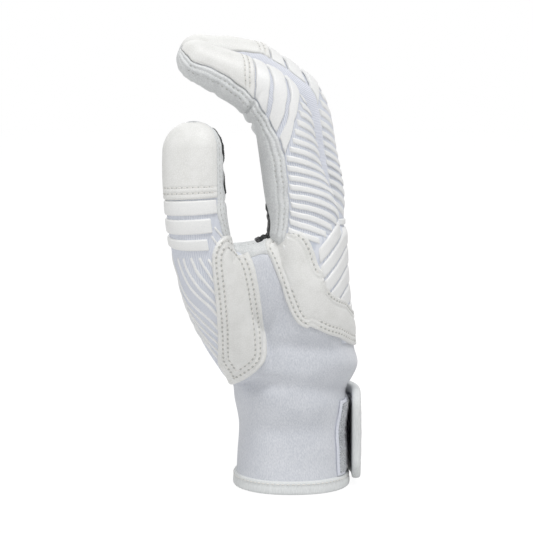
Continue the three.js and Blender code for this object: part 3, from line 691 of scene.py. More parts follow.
def creases(name, tube, s, angle):
    seed = lie["seeds"][name]
    palm = ease((0.25 - np.cos(angle)) / 0.9)
    calm = np.clip((tube["length"] - s) / 10, 0.25, 1)
    lift = lie["uneven"] * ripple(s / lie["wave"], angle * 1.4, seed) * calm
    folds = lie["thumbFolds"]
    if name != "thumb":
        folds = [(joint + past, deep) for joint, (past, deep) in zip(tube["joints"][1:], lie["folds"])]
    for bend, deep in folds:
        tilt = s - bend - 1.2 * np.sin(angle + seed)
        lift = lift + palm * deep * (-hump(tilt, 0, 1.0) + 0.35 * hump(tilt, -3.2, 2.4)
                                     + 0.5 * hump(tilt, 3.4, 2.6))
    gathers = palm * ease((s - tube["length"] + lie["gatherFrom"]) / 6) * np.clip((tube["length"] - s) / 3, 0, 1)
    return lift + lie["gather"] * gathers * np.sin(s * 2.1 + 1.2 * np.sin(angle * 3))


def tipPlaces(tube, low, u, end=None):
    # even steps from a place on a finger over its domed tip
    dome = tube["dome"]
    straight = tube["length"] - dome - low
    reach = u * (straight + dome * math.pi / 2)
    over = np.clip((reach - straight) / dome, 0, math.pi / 2)
    return np.where(reach < straight, low + reach, low + straight + dome * np.sin(over))


def edgeOf(table):
    return lambda s: np.radians(along(table, s))


def plainEdge(tube):
    # palm leather's edge where no other is measured: a little under the side line, and round the end
    length = tube["length"]
    return edgeOf([[0, 118], [length * 0.3, 108], [length * 0.8, 104], [length - 2.6, 96], [length - 0.7, 0]])


def seamAt(tube, seam, size):
    # a seam's line: the thumb's tilts evenly, the fingers' climb over the back
    if tube is thumb:
        return lambda angle: tube["length"] - seam[0] + seam[1] * np.clip(angle, -1.2, 1.2) / 0.8
    table = np.array(seam, float)
    return lambda angle: tube["length"] - size * np.interp(np.degrees(np.abs(angle)), table[:, 0], table[:, 1])


def rootTaper(tube, s):
    # sleeves and their leather come out from under the hand's panels
    return -2.2 * (1 - ease((s - 46) / 7)) if tube is thumb else -2.6 * (1 - ease((s + 6.5) / 7.5))


def sleeve(name, tube, low, lift):
    def shape(u, v, extra):
        s = tipPlaces(tube, low, u)
        angle = 2 * np.pi * v + np.pi
        points = tubePoint(tube, s, angle, lift + creases(name, tube, s, angle) + rootTaper(tube, s) + extra)
        points = np.where((u < 1e-6)[:, None], at(tube, "centre", s + 1), points)
        return points, np.stack([s, v * 2 * np.pi * radiusAt(tube, s)], -1)
    return wrapPanel(name + "_knit", (110, 56), shape, closed=True)


# the sewn edge of a leather: its roundness, how deep and wide a row of stitches draws it in, and the swell
# between rows
sewn = {"base": 0.15, "round": 0.9, "groove": 0.32, "capGroove": 0.26, "grooveWidth": 0.5, "capWidth": 0.45,
        "swell": 0.18}


def palmPart(name, tube, near, far, low, rise):
    rows = (thumbCut if tube is thumb else fingerCut)["leatherRows"]

    def shape(u, v, extra):
        s = tipPlaces(tube, low, u)
        start, end = far(s), 2 * np.pi - near(s)
        across = denseEnds(v, 0.75)
        angle = start + (end - start) * across
        radius = radiusAt(tube, s)
        edge = np.minimum(across, 1 - across) * (end - start) * radius
        wrapped = ease((0.5 - np.minimum(near(s), far(s))) / 0.5)
        lift = sewn["base"] + rise * (roundEdge(edge, sewn["round"]) * (1 - wrapped) + wrapped)
        for row in rows:
            lift = lift - sewn["groove"] * hump(edge, row, sewn["grooveWidth"]) * (1 - wrapped)
        lift = lift + sewn["swell"] * hump(edge, sum(rows) / 2, 0.8) * (1 - wrapped) + rootTaper(tube, s)
        points = tubePoint(tube, s, angle, lift + creases(name, tube, s, angle) + extra)
        return points, np.stack([s, angle * radius], -1)
    piece = wrapPanel(name + "_palm_leather", (130, 84), shape, thickness=0.8, closed=True)
    s = np.linspace(53 if tube is thumb else 0.5, tube["length"] - 5, 300)
    for sign, edgeAngle in ((-1, near), (1, far)):
        for row in rows:
            angle = sign * (edgeAngle(s) + row / radiusAt(tube, s))
            line, normals = tubeLine(tube, s, angle, rise - 0.12 + creases(name, tube, s, angle))
            sew(name, line, normals, threadToo=False)
    return piece


def acrossPanel(name, tube, key, lowEdge, highEdge, near, far, rise, crown, radius=0.8, grid=(16, 70), rows=(),
                finish="moulded", base=0.1):
    # a panel over the back of a finger between two slanted seams and two side edges
    def place(u, v):
        s = np.full(np.shape(u), tube["length"] * 0.7)
        for _ in range(7):
            angle = -near(s) + (near(s) + far(s)) * v
            low, high = lowEdge(angle), highEdge(angle)
            s = low + (high - low) * u
        return s, angle, np.abs(high - low)

    def shape(u, v, extra):
        du, dv = denseEnds(u, 0.6), denseEnds(v, 0.5)
        s, angle, width = place(du, dv)
        span = (near(s) + far(s)) * radiusAt(tube, s)
        endDistance = np.minimum(dv, 1 - dv) * span
        sideDistance = np.minimum(du, 1 - du) * width
        lift = base + rise * roundEdge(sideDistance, radius) * roundEdge(endDistance, radius)
        lift = lift + crown * np.sin(np.pi * du) * np.clip(endDistance / 3, 0, 1)
        for row in rows:
            lift = lift - sewn["capGroove"] * hump(du * width, row, sewn["capWidth"])
        points = tubePoint(tube, s, angle, lift + creases(key, tube, s, angle) + extra)
        return points, np.stack([s, angle * radiusAt(tube, s)], -1)
    piece = wrapPanel(name, grid, shape, thickness=rise * 0.75, closed=True)
    return dress(piece, finish)


def stripeRuns(free, least=5):
    # stretches of a stripe that lie in the open
    runs, start = [], None
    for k, good in enumerate(list(free) + [False]):
        if good and start is None:
            start = k
        if not good and start is not None:
            if k - start >= least:
                runs.append((start, k - 1))
            start = None
    return runs


def fingerStripes(name, tube, near, far, barEdge):
    cut, size = fingerCut, fingerShapes[name]["size"]
    pieces = []
    foot = np.array(stripeFoot[name], float)
    for k in range(cut["stripeCount"]):
        first = cut["stripeFirst"] + cut["stripePitch"] * k * size

        def run(angle):
            # a chevron with a rounded point over the middle of the back
            away = np.sqrt(np.degrees(angle) ** 2 + cut["stripePoint"] ** 2) / 110
            return first - cut["stripeSlant"] * (1 - away)

        angles = np.linspace(-2.2, 2.2, 300)
        s = run(angles)
        free = (angles > -near(s) + 0.03) & (angles < far(s) - 0.03) & (s < barEdge(angles) - 2.0)
        free &= s > np.interp(np.degrees(angles), foot[:, 0], foot[:, 1])
        for a, b in stripeRuns(free, 14):
            low, high = angles[a], angles[b]
            if b - a < 70 and run((low + high) / 2) < 14 and abs(low + high) < 1.2:
                continue  # a scrap at the knuckle

            def shape(u, v, extra):
                angle = low + (high - low) * v
                s = run(angle) + (u - 0.5) * cut["stripeWidth"] * size
                distance = np.minimum(v, 1 - v) * (high - low) * fingerRadius
                rise = cut["stripeRise"] * (0.3 + 0.7 * ease((np.abs(angle) - 0.25) / 0.7))
                lift = rise * (1 - np.abs(2 * u - 1) ** 5) ** 0.6 * roundEdge(distance, 1.0)
                points = tubePoint(tube, s, angle, lift + creases(name, tube, s, angle) + extra)
                return points, np.stack([s, angle * fingerRadius], -1)
            pieces.append(wrapPanel(f"{name}_stripe", (9, 60), shape, thickness=0.5))
    return dress(joinPieces(pieces, name + "_stripes"), "moulded")


# side walls: the turn where their length is taken, how far they run under their neighbours, how they swell in the
# middle, and how they sink at the fingertip and at the palm's leather
wallCut = {"turn": 1.3, "underBars": 0.12, "underPalm": 0.05, "base": 0.08, "rise": 0.4, "round": 0.8,
           "width": 12, "swell": 0.3, "tipSink": 0.5, "tipFrom": 0.93, "tipShare": 0.07, "palmSink": 0.35,
           "palmFrom": 0.82, "palmShare": 0.18}


def wallPart(name, tube, label, sign, top, edge, low, high):
    # the ribbed strip between two fingers, from the bars' side edge down to the palm leather
    def shape(u, v, extra):
        cut = wallCut
        s = low + (high(sign * cut["turn"]) - low) * u
        start, reach = top(s) - cut["underBars"], edge(s) + cut["underPalm"]
        angle = sign * (start + (reach - start) * v)
        edgeDistance = np.minimum(u * (high(cut["turn"]) - low), v * cut["width"])
        lift = cut["base"] + cut["rise"] * roundEdge(edgeDistance, cut["round"])
        lift = lift - cut["tipSink"] * ease((u - cut["tipFrom"]) / cut["tipShare"])
        lift = lift + cut["swell"] * np.sin(np.pi * np.clip(v, 0, 1))
        lift = lift - cut["palmSink"] * ease((v - cut["palmFrom"]) / cut["palmShare"])
        points = tubePoint(tube, s, angle, lift + creases(name, tube, s, angle) + extra)
        return points, np.stack([s, angle * radiusAt(tube, s)], -1)
    return dress(wrapPanel(label, (90, 20), shape, thickness=0.4), "wallKnit")


def bendWith(piece):
    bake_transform(piece)
    return piece


def sewBack(name, tube, seam, near, far, rise, rows):
    # stitch rows beside the cap's seam
    for row in rows:
        s0 = tube["length"] * 0.7
        angle = np.linspace(-near(s0) + 0.12, far(s0) - 0.12, 240)
        s = seam(angle) + row
        line, normals = tubeLine(tube, s, angle, rise - 0.02 + creases(name, tube, s, angle))
        sew(name + "_cap", line, normals)


def finishSewing(name):
    slit = beadShape(stitch["slitLength"], stitch["slitWidth"], 0.5)
    hole = beadShape(stitch["holeLength"], stitch["holeWidth"] * 0.7, 0.5)
    thread = beadShape(stitch["length"], stitch["radius"], 0.8)
    parts = []
    for key, kind, bead, finish in ((name, holes, slit, "hole"), (name + "_cap", holes, hole, "hole"),
                                    (name + "_cap", threads, thread, "thread")):
        if kind.get(key):
            label = f"{key}_{'thread' if finish == 'thread' else 'needle_holes'}"
            parts.append(dress(layBeads(label, kind[key], bead), finish, 80))
    return parts


def makeStall(name, tube):
    isThumb = name == "thumb"
    cut = thumbCut if isThumb else fingerCut
    low = cut["sleeveStart"]
    if isThumb:
        near, far = edgeOf(cut["farEdge"]), edgeOf(cut["handEdge"])
    else:
        far = plainEdge(tube)
        near = edgeOf(indexEdge) if name == "index" else far
    backNear = near if name in ("index", "thumb") else (lambda s: np.minimum(near(s), 1.12))
    backFar = far if name in ("pinky", "thumb") else (lambda s: np.minimum(far(s), 1.12))
    capNear = near
    if name == "middle":
        backNear = capNear = edgeOf(middleNear)
    tipScale = 1 if isThumb else fingerShapes[name]["tipScale"]
    pieces = []
    knit = dress(sleeve(name, tube, low, 0.2 if isThumb else -0.1), "knit")
    leather = dress(palmPart(name, tube, near, far, low + 1, cut["leatherRise"]), "palmLeather")
    seam = seamAt(tube, cut["capSeam"], tipScale)
    tip = tube["length"] - (0.06 if isThumb else 0.5)
    cap = acrossPanel(name + "_tip_cap", tube, name, seam, lambda a: 0 * a + tip, lambda s: capNear(s) - 0.02,
                      lambda s: far(s) - 0.02, cut["capRise"], 0.35, 0.9, (90, 84), cut["rows"], "whiteLeather",
                      base=0.15)
    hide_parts(name + "_tip_cap")
    sewBack(name, tube, seam, capNear, far, cut["capRise"] + 0.15, cut["rows"])
    for k, (upper, lower) in enumerate(cut["bars"]):
        if isThumb:
            barFar = lambda s, k=k: 0 * s + math.radians(cut["barEnds"][k])
        else:
            barFar = backFar
        bar = acrossPanel(f"{name}_bar_{k + 1}", tube, name, seamAt(tube, lower, tipScale),
                          seamAt(tube, upper, tipScale), lambda s: backNear(s) - 0.04,
                          lambda s, barFar=barFar: barFar(s) - 0.04, cut["barRise"], 0.1, 0.6, (20, 72))
        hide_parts(f"{name}_bar_{k + 1}")
        pieces.append(bar)
    if not isThumb:
        stripes = fingerStripes(name, tube, backNear, backFar, seamAt(tube, cut["bars"][2][1], tipScale))
        bendWith(stripes)
        walls = {"index": [("index_side_wall", 1)],
                 "middle": [("middle_side_wall_a", -1), ("middle_side_wall_b", 1)],
                 "ring": [("ring_side_wall_a", -1), ("ring_side_wall_b", 1)],
                 "pinky": [("pinky_side_wall", -1)]}[name]
        for label, sign in walls:
            isSeen = label == "middle_side_wall_a"
            wall = wallPart(name, tube, label + "_knit", sign, backNear if sign < 0 else backFar,
                            near if sign < 0 else far, 1.0,
                            (lambda a: tube["length"] - 4) if isSeen else seam)
            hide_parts(label)
            bendWith(wall)
    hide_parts(name + "_back", name + "_band")
    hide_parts(name + "_front")
    for piece in (knit, leather):
        bendWith(piece)
    for piece in pieces + [cap]:
        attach(piece, name + "_stall")
    for piece in finishSewing(name):
        if "_cap_" in piece.name:
            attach(piece, name + "_stall")
        else:
            bendWith(piece)
    print(name, "dressed")
    return knit


sleeves = {name: makeStall(name, tube) for name, tube in fingers.items()}
sleeves["thumb"] = makeStall("thumb", thumb)


# Hand: one smooth skin through palm, thumb root and web, from which the panels are cut
skinCut = {"voxel": 1.15, "smooth": 9, "handFrom": -4, "thumbFrom": -3, "thumbEnd": 80, "thumbDome": 8}


def solidTube(name, tube, low, high, lift=0.0, grid=(50, 56)):
    # a closed lump of the tube's shape, only to be melted into the skin
    def shape(u, v, extra):
        s = low + (high - low) * u
        points = tubePoint(tube, s, 2 * np.pi * v, lift + extra)
        ends = (u < 1e-6) | (u > 1 - 1e-6)
        return np.where(ends[:, None], at(tube, "centre", s), points), np.stack([s, v], -1)
    return wrapPanel(name, grid, shape, closed=True)


def makeSkin():
    cut = skinCut
    root = dict(thumb, length=cut["thumbEnd"], dome=cut["thumbDome"])
    lumps = [solidTube("hand_lump", hand, cut["handFrom"], handShape["top"], grid=(80, 120)),
             solidTube("web_lump", dict(web, dome=0.01), 0, web["length"] - 0.02),
             solidTube("thumb_lump", root, cut["thumbFrom"], cut["thumbEnd"])]
    skin = joinPieces(lumps, "glove_skin")
    applyModifier(skin, "REMESH", mode="VOXEL", voxel_size=cut["voxel"] * 0.001)
    applyModifier(skin, "SMOOTH", factor=0.5, iterations=cut["smooth"])
    points = (vertexArray(skin) - wristAxis) * 1000
    quads = [tuple(p.vertices) for p in skin.data.polygons]
    normals = np.empty(len(points) * 3)
    skin.data.vertices.foreach_get("normal", normals)
    triangles = np.array([t for q in quads for t in ((q[0], q[1], q[2]), (q[0], q[2], q[3])) if len(q) == 4]
                         + [q for q in quads if len(q) == 3])
    bpy.data.objects.remove(skin)
    return points, triangles, normals.reshape(-1, 3)


# The side chart is what the camera sees, from the thumb side and a little above: outlines of the visible panels
# are given in it
sideView = {"centre": np.array([-10.7, 0, 98.7]), "distance": 1000.0, "rise": 5}
sideRise = math.radians(sideView["rise"])
sideAhead = np.array([0, math.cos(sideRise), -math.sin(sideRise)])
sideUp = np.array([0, math.sin(sideRise), math.cos(sideRise)])
sideEye = sideView["centre"] - sideView["distance"] * sideAhead


def sideChart(points):
    offset = points - sideEye
    depth = offset @ sideAhead
    return np.stack([sideView["centre"][0] + offset[:, 0] / depth * sideView["distance"],
                     sideView["centre"][2] + offset @ sideUp / depth * sideView["distance"]], -1)


def chartRay(place):
    centre = sideView["centre"]
    target = centre + np.array([place[0] - centre[0], 0, 0]) + sideUp * (place[1] - centre[2])
    return Vector(sideEye), Vector(target - sideEye).normalized()


def closedOutline(points, steps=14):
    points = np.array(points, float)
    p = np.concatenate([points[-2:], points, points[:3]])
    return softCurve(p, steps)[2 * steps:(2 + len(points)) * steps]


def insideDistance(outline, places):
    # how far inside a closed outline each place lies, below zero outside
    a, b = outline, np.roll(outline, -1, 0)
    best = np.full(len(places), 1e9)
    inside = np.zeros(len(places), bool)
    for p, q in zip(a, b):
        edge = q - p
        t = np.clip((places - p) @ edge / max(1e-9, edge @ edge), 0, 1)
        best = np.minimum(best, np.linalg.norm(places - p - t[:, None] * edge, axis=1))
        crosses = (p[1] > places[:, 1]) != (q[1] > places[:, 1])
        if abs(q[1] - p[1]) > 1e-12:
            inside ^= crosses & (places[:, 0] < (q[0] - p[0]) * (places[:, 1] - p[1]) / (q[1] - p[1]) + p[0])
    return np.where(inside, best, -best)


def cutSurface(points, triangles, field):
    # the part of a surface where field(points) is above zero, cut cleanly along its line
    values = field(points)
    values = np.where(np.abs(values) < 0.08, 0.001, values)
    inside = values > 0
    count = inside[triangles].sum(1)
    kept = triangles[count == 3].tolist()
    extra, known = [], {}

    def between(i, j):
        key = (min(i, j), max(i, j))
        if key not in known:
            t = values[i] / (values[i] - values[j])
            extra.append(points[i] + (points[j] - points[i]) * t)
            known[key] = len(points) + len(extra) - 1
        return known[key]

    for tri in triangles[(count == 1) | (count == 2)].tolist():
        while inside[tri[0]] == inside[tri[1]] or inside[tri[0]] == inside[tri[2]]:
            tri = [tri[1], tri[2], tri[0]]
        a, b, c = tri
        if inside[a]:
            kept.append([a, between(a, b), between(a, c)])
        else:
            kept.extend([[b, c, between(a, c)], [b, between(a, c), between(a, b)]])
    points = np.concatenate([points, np.array(extra)]) if extra else points
    kept = np.array(kept)
    used, back = np.unique(kept, return_inverse=True)
    return points[used], back.reshape(kept.shape)


def biggestPart(points, triangles):
    # drops crumbs that a cut leaves beside the panel
    label = np.arange(len(points))
    while True:
        low = label[triangles].min(1)
        before = label.copy()
        for k in range(3):
            np.minimum.at(label, triangles[:, k], low)
        label = label[label]
        if (label == before).all():
            break
    names, sizes = np.unique(label[triangles[:, 0]], return_counts=True)
    keep = triangles[label[triangles[:, 0]] == names[np.argmax(sizes)]]
    used, back = np.unique(keep, return_inverse=True)
    return points[used], back.reshape(keep.shape)


def finer(points, triangles):
    # each triangle in four
    known, extra = {}, []

    def half(i, j):
        key = (min(i, j), max(i, j))
        if key not in known:
            known[key] = len(points) + len(extra)
            extra.append((points[i] + points[j]) / 2)
        return known[key]

    out = []
    for a, b, c in triangles.tolist():
        ab, bc, ca = half(a, b), half(b, c), half(c, a)
        out.extend([(a, ab, ca), (ab, b, bc), (ca, bc, c), (ab, bc, ca)])
    return np.concatenate([points, np.array(extra)]), np.array(out)


def panelFromSkin(name, fields, edge, lift, finish, thickness=1.2, fine=0, flatMap=lambda p: p[:, [2, 1]]):
    # edge(points) is the distance from the panel's seam, lift(edge, points) how proud it stands
    points, triangles = skinPoints, skinTriangles
    for field in fields:
        points, triangles = cutSurface(points, triangles, field)
    points, triangles = biggestPart(points, triangles)
    if fine:
        points, triangles = finer(points, triangles)
    nearest = [skinPlaces.find_n(p, 3) for p in points]
    normals = unit(np.array([sum(skinNormals[i] / (0.05 + away) for _, i, away in near) for near in nearest]))
    outer = points + normals * lift(edge(points), points)[:, None]
    inner = outer - normals * thickness
    edges = np.concatenate([triangles[:, [0, 1]], triangles[:, [1, 2]], triangles[:, [2, 0]]])
    known = {tuple(e) for e in edges.tolist()}
    rim = [(b, a, a + len(points), b + len(points)) for a, b in edges.tolist() if (b, a) not in known]
    faces = triangles.tolist() + (triangles[:, ::-1] + len(points)).tolist() + rim
    piece = newPiece(name, np.concatenate([outer, inner]), faces)
    setUv(piece, flatMap(points))
    return dress(piece, finish, 60)


skinPoints, skinTriangles, skinNormals = makeSkin()
skinPlaces = KDTree(len(skinPoints))
for k, p in enumerate(skinPoints):
    skinPlaces.insert(p, k)
skinPlaces.balance()
print("skin ready,", len(skinPoints), "points")

# Outlines in the side chart: across towards the back of the hand, and up from the hem
outlines = {
    "thumbPatch": [[-29.5, 112.7], [-22.7, 108.5], [-17.8, 101.4], [-15.3, 92.3], [-13.6, 82.6], [-12.3, 72.8],
                   [-11.5, 63.1], [-12, 56.6], [-15.3, 52.1], [-21.8, 47.5], [-26.3, 46.1], [-28.2, 48.9],
                   [-32.1, 55.4], [-32.4, 59.2], [-32.7, 69.6], [-33.4, 79.3], [-34.4, 89], [-35.5, 100.1],
                   [-35.2, 105.2], [-33, 109.9]],
    "handPatch": [[-11.35, 109.4], [-6.8, 112.4], [-1.8, 116.2], [4.5, 114.6], [7.95, 111.5], [10.9, 105.5],
                  [12.4, 100.5], [14.2, 97.5], [22, 99], [40, 104], [60, 104], [60, 50], [40, 54], [22, 62],
                  [13.6, 68.6], [4.5, 72.2], [1.2, 76.3], [-1.4, 82.2], [-4.5, 91.3], [-8.2, 100.8]],
    "tongue": [[-24.6, 104.5], [-23.2, 95], [-22, 72], [-29, 48.7], [-60, 44], [-60, 20], [60, 20], [60, 65],
               [30, 65], [9.3, 76.6], [0, 88], [-6.5, 101], [-9, 107.6], [-13, 108.1], [-18.2, 106.5],
               [-22, 106.4]],
    "crotchGrip": [[-20.3, 107.4], [-18.2, 107.0], [-14.5, 109.0], [-10.8, 111.2], [-7.5, 113.4], [-5.8, 117],
                   [-5, 132], [-20.5, 132]],
}
# the part of the hand patch that runs round the back: [degrees round, lower edge, upper edge]
backBand = np.array([[-110, 20, 140], [-92, 40, 128], [-88, 73, 124], [-84, 76, 116], [-79, 75, 104],
                     [-73, 73.8, 95.2], [-69, 73.0, 92.8], [-63.5, 71.9, 90.5], [-53.5, 70.6, 88.5],
                     [-45.5, 69.5, 87.4], [-38, 68, 86.5], [-34, 67.2, 85.4], [-23, 65.4, 82.5],
                     [-14, 64.2, 80.6], [0, 63, 79], [12, 62.5, 78]], float)
rootLine = np.array([[47, -12], [97, -12], [103.5, -21], [109, -27], [114, -29.5], [120, -31], [125, -32.2]],
                    float)
thumbPatchLine = closedOutline(outlines["thumbPatch"])
handPatchLine = closedOutline(outlines["handPatch"])
tongueLine = np.array(outlines["tongue"], float)
crotchLine = closedOutline(outlines["crotchGrip"])


# the cuff's upper edge from the palm side to the back: [x, height]
cuffTop = np.array([[-69.6, 44], [-11.6, 48.7], [8, 57], [18, 66], [69.6, 68]])
# how far round the tongue reaches: y at two x, and more of it below a height
tongueReach = {"x": (-33, 4), "y": (-42, -26), "more": 16, "below": 60, "soft": 8, "nearest": -18}


def cuffField(points):
    # inside the cuff or its tongue between the two patches
    x, y, z = points.T
    top = np.interp(x, cuffTop[:, 0], cuffTop[:, 1])
    reach = np.interp(x, tongueReach["x"], tongueReach["y"])
    reach = reach + tongueReach["more"] * ease((tongueReach["below"] - z) / tongueReach["soft"])
    tongue = np.minimum(insideDistance(tongueLine, points[:, [0, 2]]),
                        np.minimum(reach - y, tongueReach["nearest"] - y))
    return np.maximum(top - z, tongue)


def aboveHem(points):
    return points[:, 2] - 1.0


def overThumb(points):
    # the place along the thumb and the height over its surface
    s = tubePlace(thumb, points)[0]
    return s, np.linalg.norm(points - at(thumb, "centre", s), axis=1) - radiusAt(thumb, s)


# where the hand's skin ends over the thumb's sleeve, and how it dips under the sleeve before that
skinEnd = {"along": 57, "over": 3.5, "dip": 1.6, "dipOver": 5, "dipSoft": 3, "dipFrom": 51.5, "dipRun": 5}


def offThumb(points):
    s, over = overThumb(points)
    return np.maximum(skinEnd["along"] - s, over - skinEnd["over"])


def rootField(points):
    # the knit over the thumb's root, left of the saddle patch's middle
    s, angle = tubePlace(thumb, points)
    chart = sideChart(points)
    line = np.interp(chart[:, 1], rootLine[:, 0], rootLine[:, 1])
    return np.minimum(np.minimum(-cuffField(points), line - chart[:, 0]),
                      (math.radians(108) - np.abs(angle)) * radiusAt(thumb, s))


def sinkAtThumb(points):
    cut = skinEnd
    s, over = overThumb(points)
    near = ease((cut["dipOver"] - over) / cut["dipSoft"])
    return -cut["dip"] * near * ease((s - cut["dipFrom"]) / cut["dipRun"])


sideSeam = 1.2  # the x at which the palm's leather meets the knit of the back
gussetCut = {"x": (1.5, 12.5), "y": 26, "z": 45.6}


def gussetField(points):
    # the strip up the little finger's side
    x, y, z = points.T
    low, high = gussetCut["x"]
    return np.minimum(np.minimum(x - low, high - x), np.minimum(y - gussetCut["y"], z - gussetCut["z"]))


valley = {"depth": 0.55, "reach": 0.9, "swell": 0.25, "swellAt": 2.6, "swellWidth": 1.6}


def seamValley(distance, points):
    # cloth is drawn down at a seam and swells beside it
    drawn = valley["depth"] * np.exp(-np.clip(distance, 0, 9) / valley["reach"])
    return -drawn + valley["swell"] * hump(distance, valley["swellAt"], valley["swellWidth"])


# swells and hollows of the foam cloth on the thumb side: (across, up), width, height, amount
cuffFolds = [((26, 55), 9, 6, 2.2), ((8, 62), 14, 4, -2.6), ((-3, 72), 6, 12, -1.2), ((-12, 45), 13, 3.5, -2.0),
             ((6, 50), 12, 4, 0.8), ((-19, 30), 8, 9, -1.0), ((20, 43), 12, 3.5, -1.6), ((10, 34), 14, 6, 1.0),
             ((-4, 24), 9, 4, -0.6), ((14, 16), 10, 6, 0.6)]


def clothFolds(points):
    # soft hollows and swells of the foam cloth, and its slight unevenness
    chart = sideChart(points)
    facing = ease((10 - points[:, 1]) / 14)
    lift = 0.28 * ripple(points[:, 2] / 9, np.arctan2(points[:, 1], points[:, 0]) * 2.2, 7)
    for (x, z), wide, high, amount in cuffFolds:
        lift = lift + facing * amount * np.exp(-((chart[:, 0] - x) / wide) ** 2 - ((chart[:, 1] - z) / high) ** 2)
    return lift


skinPoints = skinPoints + skinNormals * clothFolds(skinPoints)[:, None]
cuff = panelFromSkin("foam_cuff", [aboveHem, cuffField], cuffField, seamValley, "neoprene", 1.5)
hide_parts("cuff_body")
palm = panelFromSkin("palm_leather_panel", [lambda p: -cuffField(p), lambda p: sideSeam - p[:, 0],
                                            lambda p: -gussetField(p), lambda p: -rootField(p), offThumb],
                     lambda p: np.minimum(np.minimum(-cuffField(p), sideSeam - p[:, 0]), -rootField(p)),
                     lambda d, p: seamValley(d, p) + 0.25 + sinkAtThumb(p), "palmLeather", 1.1)
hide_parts("palm_panel")
thumbRoot = panelFromSkin("thumb_root_knit", [rootField, offThumb], rootField,
                          lambda d, p: 0.5 * seamValley(d, p) + 0.2 + sinkAtThumb(p), "knit", 1.1,
                          flatMap=lambda p: np.stack(tubePlace(thumb, p), -1) * [1, 13.5])
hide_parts("thumb_lower_back")
bendWith(thumbRoot)
back = panelFromSkin("back_knit_panel",
                     [lambda p: -cuffField(p), lambda p: p[:, 0] - sideSeam, lambda p: -gussetField(p)],
                     lambda p: np.minimum(-cuffField(p), p[:, 0] - sideSeam), seamValley, "knit", 1.1)
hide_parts("back_panel")
gusset = panelFromSkin("little_finger_knit_strip", [gussetField], gussetField, seamValley, "wallKnit", 1.1)
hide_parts("little_finger_gusset")
for piece in (cuff, palm, back, gusset):
    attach(piece, "hand")
print("hand panels cut")

patch = {"gather": (-29, 45.5), "rise": 1.55, "rim": 0.35, "rows": (1.9, 4.1), "thumbRows": (2.0, 4.3),
         "groove": 0.34, "fold": 0.24, "folds": 15, "foldAt": 7, "foldReach": 6}


def patchLift(base, rows):
    def lift(distance, points):
        d = np.clip(distance, 0, 99)
        value = base + patch["rim"] + patch["rise"] * 0.62 * roundEdge(d, 1.1) + 0.3 * ease((d - 4) / 5)
        for row in rows:
            value = value - patch["groove"] * hump(d, row, sewn["grooveWidth"])
        return value + 0.12 * ripple(points[:, 2] / 7, points[:, 0] / 8 + points[:, 1] / 9, 3)
    return lift


def thumbPatchLift(distance, points):
    # small gathers fan out where the patch is drawn in at its lower corner
    chart = sideChart(points) - patch["gather"]
    away, turn = np.linalg.norm(chart, axis=1), np.arctan2(chart[:, 1], chart[:, 0])
    fan = patch["fold"] * np.sin(patch["folds"] * turn) * hump(away, patch["foldAt"], patch["foldReach"])
    fan = fan * ease((distance - 0.6) / 1.5)
    return patchLift(0.55, patch["thumbRows"])(distance, points) + fan


# the thumb patch stays on the outer side: y at three x, and degrees round the thumb, more of them below a place
thumbPatchCut = {"x": (-40, -30, 4), "y": (-24, -30, -14), "turn": 100, "more": 4, "below": 58}


def thumbPatchField(points):
    cut = thumbPatchCut
    s, angle = tubePlace(thumb, points)
    front = np.interp(points[:, 0], cut["x"], cut["y"]) - points[:, 1]
    around = (math.radians(cut["turn"]) - angle) * radiusAt(thumb, s)
    around = around + cut["more"] * np.maximum(0, cut["below"] - s)
    return np.minimum(np.minimum(insideDistance(thumbPatchLine, sideChart(points)), front), around)


handTop = 115.5  # above it the hand's outline stays as it is there


def handTurn(points):
    # degrees round the hand, 0 at the back, below zero on the thumb side
    z = np.clip(points[:, 2], 0, handTop)
    power = at(hand, "power", z) / 2
    c = (points[:, 0] - at(hand, "centre", z)[:, 0]) / at(hand, "halfDepth", z)
    d = points[:, 1] / at(hand, "halfWidth", z)
    return np.degrees(np.arctan2(bent(d, power), bent(c, power)))


# the hand patch follows its outline up to a turn and the band from there on; far stands for no edge near
handPatchCut = {"outlineTo": -66, "x": 4, "perDegree": 0.55, "far": 40.0}


def handPatchField(points):
    cut = handPatchCut
    turn = handTurn(points)
    z = points[:, 2]
    low, high = np.interp(turn, backBand[:, 0], backBand[:, 1]), np.interp(turn, backBand[:, 0], backBand[:, 2])
    band = np.minimum(np.minimum(z - low, high - z), (backBand[-1, 0] - turn) * cut["perDegree"])
    front = np.where(points[:, 0] > cut["x"], cut["far"], -points[:, 1])
    chart = np.where(turn > cut["outlineTo"], cut["far"], insideDistance(handPatchLine, sideChart(points)))
    return np.minimum(np.minimum(chart, band), front)


thumbPatch = panelFromSkin("thumb_saddle_patch", [thumbPatchField], thumbPatchField, thumbPatchLift,
                           "whiteLeather", 1.5, 1)
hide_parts("thumb_patch")
handPatch = panelFromSkin("hand_saddle_patch", [handPatchField], handPatchField, patchLift(0.1, patch["rows"]),
                          "whiteLeather", 1.4, 1)
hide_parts("hand_patch")


def treeOf(pieces):
    points, faces = [], []
    for piece in pieces:
        base = len(points)
        points.extend(tuple(p) for p in (vertexArray(piece) - wristAxis) * 1000)
        faces.extend(tuple(i + base for i in p.vertices) for p in piece.data.polygons)
    return BVHTree.FromPolygons(points, faces)


